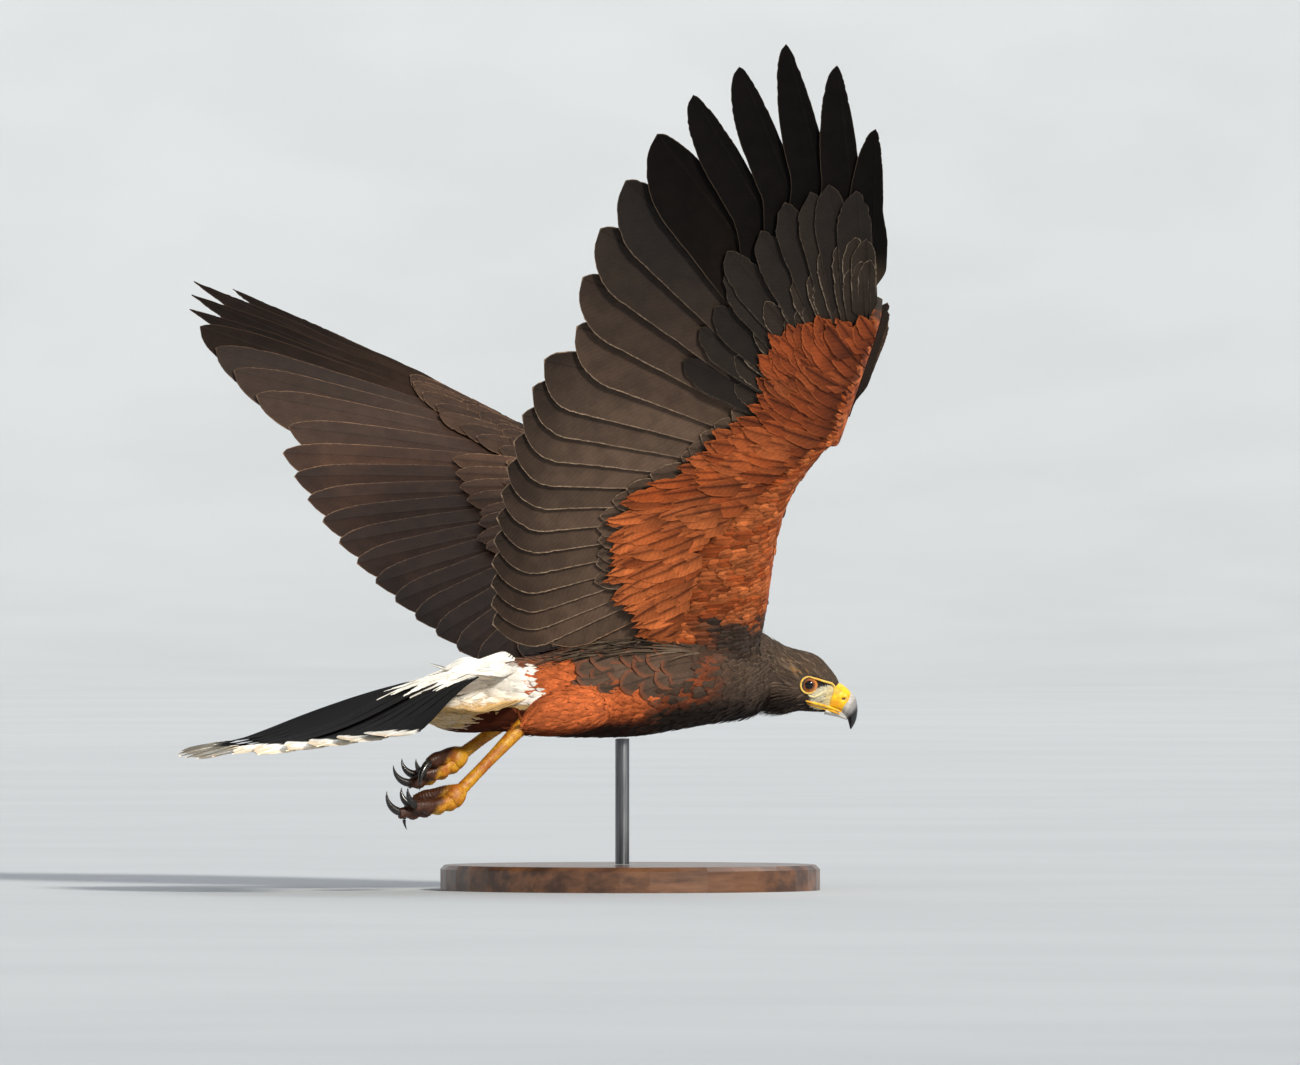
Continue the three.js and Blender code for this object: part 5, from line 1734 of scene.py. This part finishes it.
def waxy(p, colour, wrinkle, cloud, smoothest, roughest, relief):
    """The finish of bare skin: fine wrinkles, and a little light that enters it."""
    return p.finish(colour, cloud.ramp(0.3, 0.7, smoothest, roughest),
                    p.bump(wrinkle + cloud * 0.5, relief, 0.0004), Subsurface_Weight=0.08,
                    Subsurface_Scale=0.002)


def bare_skin(name, colour, deep):
    p = Paint(name)
    wrinkle, cloud = p.cells(700.0), p.noise(160.0)
    mixed = p.blend(cloud.ramp(0.38, 0.68), colour, deep)
    colour = p.tone(mixed, wrinkle.ramp(0.0, 0.8, 0.84, 1.08))
    return waxy(p, colour, wrinkle, cloud, 0.39, 0.55, 0.4)


def cere_paint():
    """Yellow, with painted shade inside the nostrils."""
    p = Paint("cere_skin")
    pit = p.field("pit")
    wrinkle, cloud = p.cells(620.0), p.noise(170.0)
    yellow = p.blend(cloud.ramp(0.4, 0.7), srgb(250, 200, 30), srgb(234, 158, 18))
    # Painted shade: inside the sunk nostril the cere goes dark brown.
    colour = p.blend(pit.ramp(0.3, 0.75), p.tone(yellow, wrinkle.ramp(0, 0.8, 0.9, 1.05)),
                     srgb(70, 30, 10))
    return waxy(p, colour, wrinkle, cloud, 0.32, 0.46, 0.25)


def cheek(f, u, side):
    """How far the face stands out to one side, at a place forward and up; in front of the
    skin, how far the bill does."""
    start = Vector(head_at(f, side * 45.0, u))
    spot = skin_tree.ray_cast(start, Vector(-side * head_left))[0]
    if spot is None:
        return float(np.interp(f, [24, 30, 36], [9.8, 8.0, 6.4]))
    return float(abs(head_place(np.array(spot))[1]))


def face_line(marks, side, out):
    """Points on the face from places forward and up, out millimetres clear of its skin."""
    return [head_at(f, side * (cheek(f, u, side) + out), u) for f, u in marks]


LID_START, LID_END = 62, 338  # degrees round the eye, from its front corner upwards


def eyelid(side):
    """Lid from the brow round behind and below the eye, with ends that fade out."""
    marks, radii = [], []
    for degrees in np.linspace(LID_START, LID_END, 24):
        a = math.radians(degrees)
        f = EYE[0] - 0.3 + 5.75 * math.cos(a)
        u = EYE[2] - 0.3 + 5.9 * math.sin(a)
        marks.append(head_at(f, side * (min(cheek(f, u, side), 20.4) + 0.25), u))
        share = (degrees - LID_START) / (LID_END - LID_START)
        radii.append(0.25 + 0.5 * math.sin(math.pi * share) ** 0.5)
    return sweep(marks, radii, 12, 90, head_up)


# Lines of the face, as places forward and up from the head's middle
BROW = [(3.0, 11.0), (8, 11.3), (12, 11.5), (16, 11.7), (20.2, 11.9)]
BROW_END = [(22.6, 10.4), (23.8, 7.4), (24.4, 4.4)]
LID_FOLD = [(6.6, -1.2), (9.5, -1.7), (12, -0.9), (14.2, 1.4), (16.2, 4.1), (18, 6.5)]
UPPER_LIP = [(6.2, -5.9), (9, -5.7), (14, -5.2), (18.6, -4.8), (23.4, -4.6)]
LOWER_LIP = [(8.2, -7.3), (12, -7.3), (17, -7.0), (22.2, -6.7)]


def brow_line(side):
    marks = face_line(BROW, side, 0.9) + face_line(BROW_END, side, 0.4)
    return sweep(marks, [0.4, 0.75, 0.8, 0.8, 0.8, 0.8, 0.7, 0.4], 10, 50, head_up)


def lid_fold(side):
    return sweep(face_line(LID_FOLD, side, -0.1), [0.3, 0.8, 0.85, 0.75, 0.55, 0.2], 10, 40,
                 head_up)


def lips(side):
    """Yellow edges of the mouth, which run on along the bill."""
    upper = face_line(UPPER_LIP, side, -0.1) + [head_at(30, side * 7.6, -4.7),
                                                head_at(34, side * 6.6, -4.8)]
    lower = face_line(LOWER_LIP, side, -0.2) + [head_at(28, side * 7.3, -6.4),
                                                head_at(33, side * 5.7, -6.5)]
    return (sweep(upper, [0.3, 0.95, 1.1, 1.1, 1.1, 0.9, 0.3], 12, 50, head_up),
            sweep(lower, [0.3, 0.8, 0.9, 0.9, 0.8, 0.4], 12, 46, head_up))


def build_face():
    for name, side in (("left", 1), ("right", -1)):
        build_eye(name, side)
        for part, material, tubes in (("eyelid", eye_ring, [eyelid(side)]),
                                      ("brow_line", eye_ring, [brow_line(side)]),
                                      ("lid_fold", fold_skin, [lid_fold(side)]),
                                      ("gape", cere_skin, lips(side))):
            piece(f"{part}_{name}", material, [], joined(part, *tubes))


# Sections of cere and lower bill, forward: top, bottom and half the width. The upper bill's
# have its ridge and its edge, each as a place forward and up, and half the width
CERE = [(23.6, 13.9, -6.4, 10.4), (26.5, 14.1, -6.2, 9.2), (30, 13.2, -5.6, 8.1),
        (34, 11.3, -4.6, 7.1), (35.4, 10.2, -3.4, 6.3)]
UPPER_BILL = [(33.2, 11.6, 33.0, -4.6, 7.0), (36.6, 10.2, 35.2, -5.4, 6.5),
              (39.6, 8.4, 37.0, -6.3, 5.9), (43, 3, 38.9, -7.4, 5.0),
              (45, -3.6, 40.3, -9.3, 3.7), (45.3, -9, 42.2, -12.0, 2.1),
              (44.4, -13.7, 43.6, -14.1, 0.35)]
LOWER_BILL = [(22.5, -5.8, -10.6, 7.8), (27, -5.6, -9.9, 6.9), (33, -5.9, -9.0, 5.2),
              (37.2, -6.9, -8.9, 3.4), (39.4, -7.6, -8.6, 1.6)]
NOSTRIL = (31.7, 4.6)


def head_ovals(sections, steps, sides):
    rings = []
    for forward, top, bottom, half in through(sections, steps):
        middle = (top + bottom) / 2
        rings.append(oval(head_at(forward, 0, middle), head_left, head_up, half,
                          top - middle, middle - bottom, sides))
    return np.array(rings)


def build_cere():
    """Cere with a round nostril sunk into each side and a low lip about it."""
    rings = head_ovals(CERE, 26, 56)
    f, l, u = head_place(rings)
    ahead = f - NOSTRIL[0]
    off = np.hypot(ahead / 1.9, (u - NOSTRIL[1] - 0.25 * ahead) / 1.1)
    pit = np.exp(-off ** 2.4) * (np.abs(l) > 3)
    lip = np.exp(-((off - 1.45) / 0.5) ** 2) * (np.abs(l) > 3)
    rings = rings - (np.sign(l) * 2.2 * pit)[..., None] * head_left
    rings = rings + (np.sign(l) * 0.22 * lip)[..., None] * head_left
    piece("cere_skin", cere_material, ["cere"], joined("cere_skin", rings),
          dict(pit=pit.ravel()))


def upper_bill(steps, sides):
    turn = np.linspace(0, 2 * np.pi, sides, endpoint=False)
    keel = np.abs(np.sin(turn)) ** 1.15 * np.sign(np.sin(turn))
    flare = np.cos(turn) * (1 - 0.12 * np.sin(turn))
    rings = []
    for ridge_f, ridge_u, edge_f, edge_u, half in through(UPPER_BILL, steps):
        ridge, edge = head_at(ridge_f, 0, ridge_u), head_at(edge_f, 0, edge_u)
        middle = (ridge + edge) / 2
        rings.append(middle + np.outer(half * flare, head_left)
                     + np.outer(keel, ridge - middle))
    return rings


def build_bill():
    """Both halves; horn runs from 0 at the cere to 1 at the hook."""
    for name, node, rings, last in (
            ("upper_bill", "beak_upper", upper_bill(44, 40), 1.0),
            ("lower_bill", "beak_lower", head_ovals(LOWER_BILL, 20, 32), 0.3)):
        horn = np.repeat(np.linspace(0, last, len(rings)), len(rings[0]))
        piece(name, bill_horn, [node], joined(name, rings), dict(horn=horn))


def horn_material():
    """Bill: blue-grey base, black towards the tip."""
    p = Paint("bill_horn")
    place = p.field("horn")
    grain = p.noise(420.0, 4.0)
    lines = p.noise(300.0, stretch=(1.0, 1.0, 5.0))
    pale = p.blend(lines.ramp(0.35, 0.7), srgb(206, 200, 190), srgb(160, 158, 156))
    pale = p.blend((place + (grain - 0.5) * 0.1).ramp(0.2, 0.42), pale, srgb(142, 139, 138))
    colour = p.blend((place + (grain - 0.5) * 0.12).ramp(0.42, 0.56), pale, srgb(18, 17, 18))
    return p.finish(colour, grain.ramp(0.3, 0.7, 0.22, 0.4), p.bump(lines, 0.12, 0.0005),
                    Coat_Weight=0.25)


def skin_paint():
    """Bare skin under the feathers, in their colours."""
    p = Paint("plumage_skin")
    fine = p.noise(1200.0)
    down = p.noise(500.0, 4.0, stretch=(0.4, 1.0, 1.0))
    colour = p.tone(p.field("tint", "Color"), (fine * 0.5 + down * 0.5).ramp(0.3, 0.7, 0.6, 1.1))
    return p.finish(colour, fine.ramp(0.3, 0.7, 0.75, 0.9), p.bump(fine + down, 0.6, 0.0006))


def dress_skin():
    """The skin in the colours of the feathers that stand on it."""
    base = face_marks(skin_points, body_marks(skin_points, skin_normals)[0])
    for name, w in WINGS.items():
        above = skin_normals @ wing_chart(w)[-1] >= 0
        for part in ("arm_", "hand_"):
            mine = skin_region == region_names.index(part + name)
            for side, under in ((mine & ~above, True), (mine & above, False)):
                base[side] = wing_marks(skin_points[side], w, under)[0]
    for name in LEGS:
        base[skin_region == region_names.index("thigh_" + name)] = FLANK_RUFOUS * 0.8
    piece("skin", skin_paint(),
          ["torso", "neck", "head", "tail_coverts", "thigh_left", "thigh_right"], skin_mesh,
          dict(tint=base))


# Feet

# Front toes: degrees to the side and down, length and size, and how far each curls
DIGITS = [("inner", -15, 0, 0.82, 26), ("middle", -1, 3, 1.08, 22),
          ("outer", 13, 0, 0.88, 26)]
CLAW_ROOT = 2.5  # how far a claw is set into its toe


def digit(start, heading, curl, length, count):
    """Points of a toe or claw that bends by curl in all, and which way its end points."""
    points, heading = [np.array(start, float)], unit(heading)
    aside = unit(np.cross(heading, (0, 0, 1)))
    for _ in range(count - 1):
        heading = turn_about(heading, aside, curl / (count - 1))
        points.append(points[-1] + heading * length / (count - 1))
    return points, heading


def toes_of(leg):
    """Name, heading, curl, size, length, height of the root and curl of the claw."""
    toes = []
    for name, spread, drop, scale, curl in DIGITS:
        level, turn = math.radians(leg["toes"] + drop), math.radians(spread) * leg["side"]
        toes.append((name, (-math.cos(level) * math.cos(turn), math.cos(level) * math.sin(turn),
                            -math.sin(level)), curl, scale, leg["toe"] * scale, -2, 95))
    level = math.radians(leg["hind"])
    toes.append(("hind", unit((-math.cos(level), -0.45 * leg["side"], -math.sin(level))), -14,
                 1.3, HIND_TOE, 3, leg["hind_curl"]))
    return toes


def scutes(pitch, deep, pads):
    """Plates across the top, small pads under the joints."""
    def shape(s, turn):
        top = smooth(np.cos(turn), -0.1, 0.5)
        saw = (s / pitch) % 1.0
        plate = deep * (smooth(saw, 0, 0.25) - 0.5) * top
        bead = 0.5 * deep * np.sin(s * 2.6) * np.sin(turn * 7) * (1 - top)
        sole_pads_and_shade = smooth(-np.cos(turn), 0.2, 0.9) * pads * np.abs(np.sin(s * 0.33)) ** 1.5
        return plate + bead + sole_pads_and_shade
    return shape


def build_leg(name, leg):
    foot, ankle = np.array(leg["foot"], float), np.array(leg["ankle"], float)
    shank = unit(foot - ankle)
    start, end = ankle - shank * 7, foot + shank
    front = np.cross(shank, (0, 1, 0))
    front = front if front[0] > 0 else -front
    rings = sweep([start, (start + end) / 2, end - shank * 8, end], [5.6, 4.1, 4.5, 5.6], 28,
                  110, front, scutes(3.1, 0.42, 0.0))
    piece(f"shank_{name}", leg_skin, ["tarsus_" + name], joined("shank", rings),
          dict(sole_pads_and_shade=np.zeros(rings.shape[0] * rings.shape[1])))
    heel = [foot - shank * 8, foot - shank * 3, foot + shank * 3, foot + shank * 7]
    toes = [sweep(heel, [4.8, 7.2, 7.6, 4.5], 28, 30, front, scutes(2.6, 0.3, 0.8))]
    claws = []
    for _, heading, curl, scale, length, rise, claw_curl in toes_of(leg):
        path, ahead = digit(foot + (0, 0, rise), heading, curl, length, 5)
        toes.append(sweep(path, [5.6, 5.2, 4.4, 4.5, 3.0], 24, 80, (0, 0, 1),
                          scutes(2.1, 0.45, 1.5)))
        claw, _ = digit(path[-1] - ahead * CLAW_ROOT, ahead, claw_curl, CLAW * scale, 7)
        claws.append(sweep(claw, [2.4, 2.9, 2.6, 2.1, 1.5, 0.85, 0.12], 18, 40))
    points = np.vstack([rings.reshape(-1, 3) for rings in toes])
    # Painted shade: the toes darken towards the rear and the upper side of the foot.
    sole_pads_and_shade = smooth((foot[0] - points[:, 0]) + 0.7 * (points[:, 2] - foot[2]), -2, 20)
    piece(f"toes_{name}", leg_skin, ["foot_" + name], joined("toes", *toes),
          dict(sole_pads_and_shade=sole_pads_and_shade))
    piece(f"talons_{name}", talon_horn,
          [f"claw_{name}_{toe}" for toe in ("inner", "middle", "outer", "hind")],
          joined("talons", *claws))


def talon_paint():
    p = Paint("talon_horn")
    grain = p.noise(500.0, 4.0, stretch=(1.0, 1.0, 3.0))
    colour = p.blend(grain.ramp(0.35, 0.75), srgb(14, 13, 13), srgb(46, 42, 40))
    return p.finish(colour, grain.ramp(0.3, 0.7, 0.2, 0.38), p.bump(grain, 0.15, 0.0005),
                    Coat_Weight=0.3)


def leg_paint():
    p = Paint("leg_skin")
    scale_cells = p.cells(900.0)
    cloud = p.noise(110.0)
    base = p.blend(cloud.ramp(0.36, 0.66), srgb(232, 168, 34), srgb(190, 106, 22))
    # Painted shade on the rear and upper side of the toes: they turn dark brown there.
    sole_pads_and_shade = p.field("sole_pads_and_shade")
    base = p.blend((sole_pads_and_shade + (cloud - 0.5) * 0.5).ramp(0.35, 0.8), base, srgb(74, 36, 13))
    colour = p.tone(base, scale_cells.ramp(0.0, 0.7, 1.06, 0.66))
    return p.finish(colour, cloud.ramp(0.3, 0.7, 0.38, 0.55),
                    p.bump(1 - scale_cells, 0.35, 0.0005), Subsurface_Weight=0.06,
                    Subsurface_Scale=0.002)


# Stand

def stand_walnut():
    p = Paint("stand_walnut")
    rings = p.noise(9.0, 5.0, 0.6, stretch=(1.0, 9.0, 9.0))
    grain = p.noise(150.0, 4.0, 0.7, stretch=(0.12, 1.0, 1.0))
    colour = p.blend(rings.ramp(0.35, 0.65), srgb(64, 40, 26), srgb(112, 74, 48))
    colour = p.tone(colour, grain.ramp(0.3, 0.7, 0.82, 1.12))
    return p.finish(colour, grain.ramp(0.3, 0.7, 0.34, 0.48), p.bump(grain, 0.12, 0.0006),
                    Coat_Weight=0.25)


def stand_steel():
    p = Paint("stand_brushed_steel")
    brushed = p.noise(320.0, stretch=(1.0, 1.0, 0.05))
    return p.finish(p.blend(brushed.ramp(0.3, 0.7), srgb(96, 98, 102), srgb(140, 142, 146)),
                    brushed.ramp(0.3, 0.7, 0.38, 0.52), p.bump(brushed, 0.12, 0.0003),
                    Metallic=1.0)


def dress_stand():
    for node, material in (("stand_base", stand_walnut()), ("stand_rod", stand_steel())):
        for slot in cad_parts[node].material_slots:
            slot.material = material


eye_glass = eye_material()
eye_ring = bare_skin("eye_ring_skin", srgb(236, 196, 92), srgb(222, 160, 48))
fold_skin = bare_skin("lid_fold_skin", srgb(236, 224, 176), srgb(214, 198, 140))
cere_skin = bare_skin("gape_skin", srgb(246, 196, 40), srgb(226, 150, 24))
cere_material = cere_paint()
bill_horn = horn_material()
talon_horn = talon_paint()
leg_skin = leg_paint()

dress_skin()
for name, w in WINGS.items():
    build_wing(name, w)
    build_small_wing_feathers(name, w)
contour_feathers()
flank_feathers()
rump_feathers()
pit_strands()
head_feathers()
build_tail()
build_face()
build_lore()
build_cere()
build_bill()
for name, leg in LEGS.items():
    build_thigh_feathers(name, leg)
    build_leg(name, leg)
dress_stand()


# Camera, light and backdrop

CAMERA_TURN = 24  # degrees to the bird's right, from square on
PIXEL = 0.71  # millimetres at the bird for one pixel of the picture
DISTANCE = 15000
WIDE, HIGH = 1300, 1065
SENSOR = 36
ORIGIN = (630, 890)  # where the middle of the stand's underside falls in the picture


def set_camera():
    a = math.radians(CAMERA_TURN)
    right = np.array([math.cos(a), -math.sin(a), 0])
    towards = np.array([-math.sin(a), -math.cos(a), 0])
    aim = right * (WIDE / 2 - ORIGIN[0]) * PIXEL
    aim = aim + np.array([0, 0, (ORIGIN[1] - HIGH / 2) * PIXEL])
    camera = bpy.data.cameras.new("camera")
    camera.sensor_width = SENSOR
    camera.lens = SENSOR * DISTANCE / (WIDE * PIXEL)
    camera.clip_end = 60
    thing = bpy.data.objects.new("camera", camera)
    thing.location = (aim + towards * DISTANCE) * MM
    thing.rotation_euler = (math.pi / 2, 0, -a)
    bpy.context.scene.collection.objects.link(thing)
    bpy.context.scene.camera = thing


FLOOR, RISE = 20, 8  # metres: the flat floor's radius, and how far its rim rises
FLOOR_SIDES = 72


def wide_light(name, azimuth, height, spread, power, colour):
    """Even light from a wide patch; azimuth is to the picture's right of the camera."""
    light = bpy.data.lights.new(name, "SUN")
    light.angle, light.energy, light.color = math.radians(spread), power, colour
    thing = bpy.data.objects.new(name, light)
    thing.rotation_euler = (math.radians(90 - height), 0,
                            math.radians(azimuth - CAMERA_TURN))
    bpy.context.scene.collection.objects.link(thing)


def set_studio():
    """A pale round floor that curves up far out, and three soft lights."""
    p = Paint("studio_grey")
    haze = p.noise(2.0, 2.0)
    paper = p.finish(p.blend(haze.ramp(0.3, 0.7), (0.50, 0.53, 0.56), (0.53, 0.56, 0.59)), 0.9)
    profile = [(0.01, 0.0), (1.0, 0.0), (6.0, 0.0), (FLOOR, 0.0)]
    profile += [(FLOOR + RISE * math.sin(a), RISE - RISE * math.cos(a))
                for a in np.linspace(0.1, math.pi / 2, 14)]
    profile += [(FLOOR + RISE, RISE + 4.0)]
    around = [2 * math.pi * k / FLOOR_SIDES for k in range(FLOOR_SIDES)]
    points = [(r * math.cos(a), r * math.sin(a), z) for r, z in profile for a in around]
    faces = tube_faces(len(profile), FLOOR_SIDES)[:-2]
    mesh = list_mesh("studio_floor", np.array(points) / MM, faces)
    mesh.materials.append(paper)
    mesh.polygons.foreach_set("use_smooth", np.ones(len(faces), bool))
    floor = bpy.data.objects.new("studio_floor", mesh)
    bpy.context.scene.collection.objects.link(floor)
    wide_light("key", 34, 30, 10, 3.7, (1.0, 0.94, 0.84))
    wide_light("fill", -50, 20, 90, 0.6, (0.94, 0.97, 1.0))
    wide_light("rim", 150, 55, 40, 0.9, (1.0, 0.98, 0.94))
    world = bpy.data.worlds.new("studio")
    world.use_nodes = True
    background = world.node_tree.nodes["Background"]
    background.inputs["Color"].default_value = (0.80, 0.86, 0.95, 1)
    background.inputs["Strength"].default_value = 0.36
    bpy.context.scene.world = world


set_camera()
set_studio()
bpy.context.scene.view_settings.view_transform = "Standard"
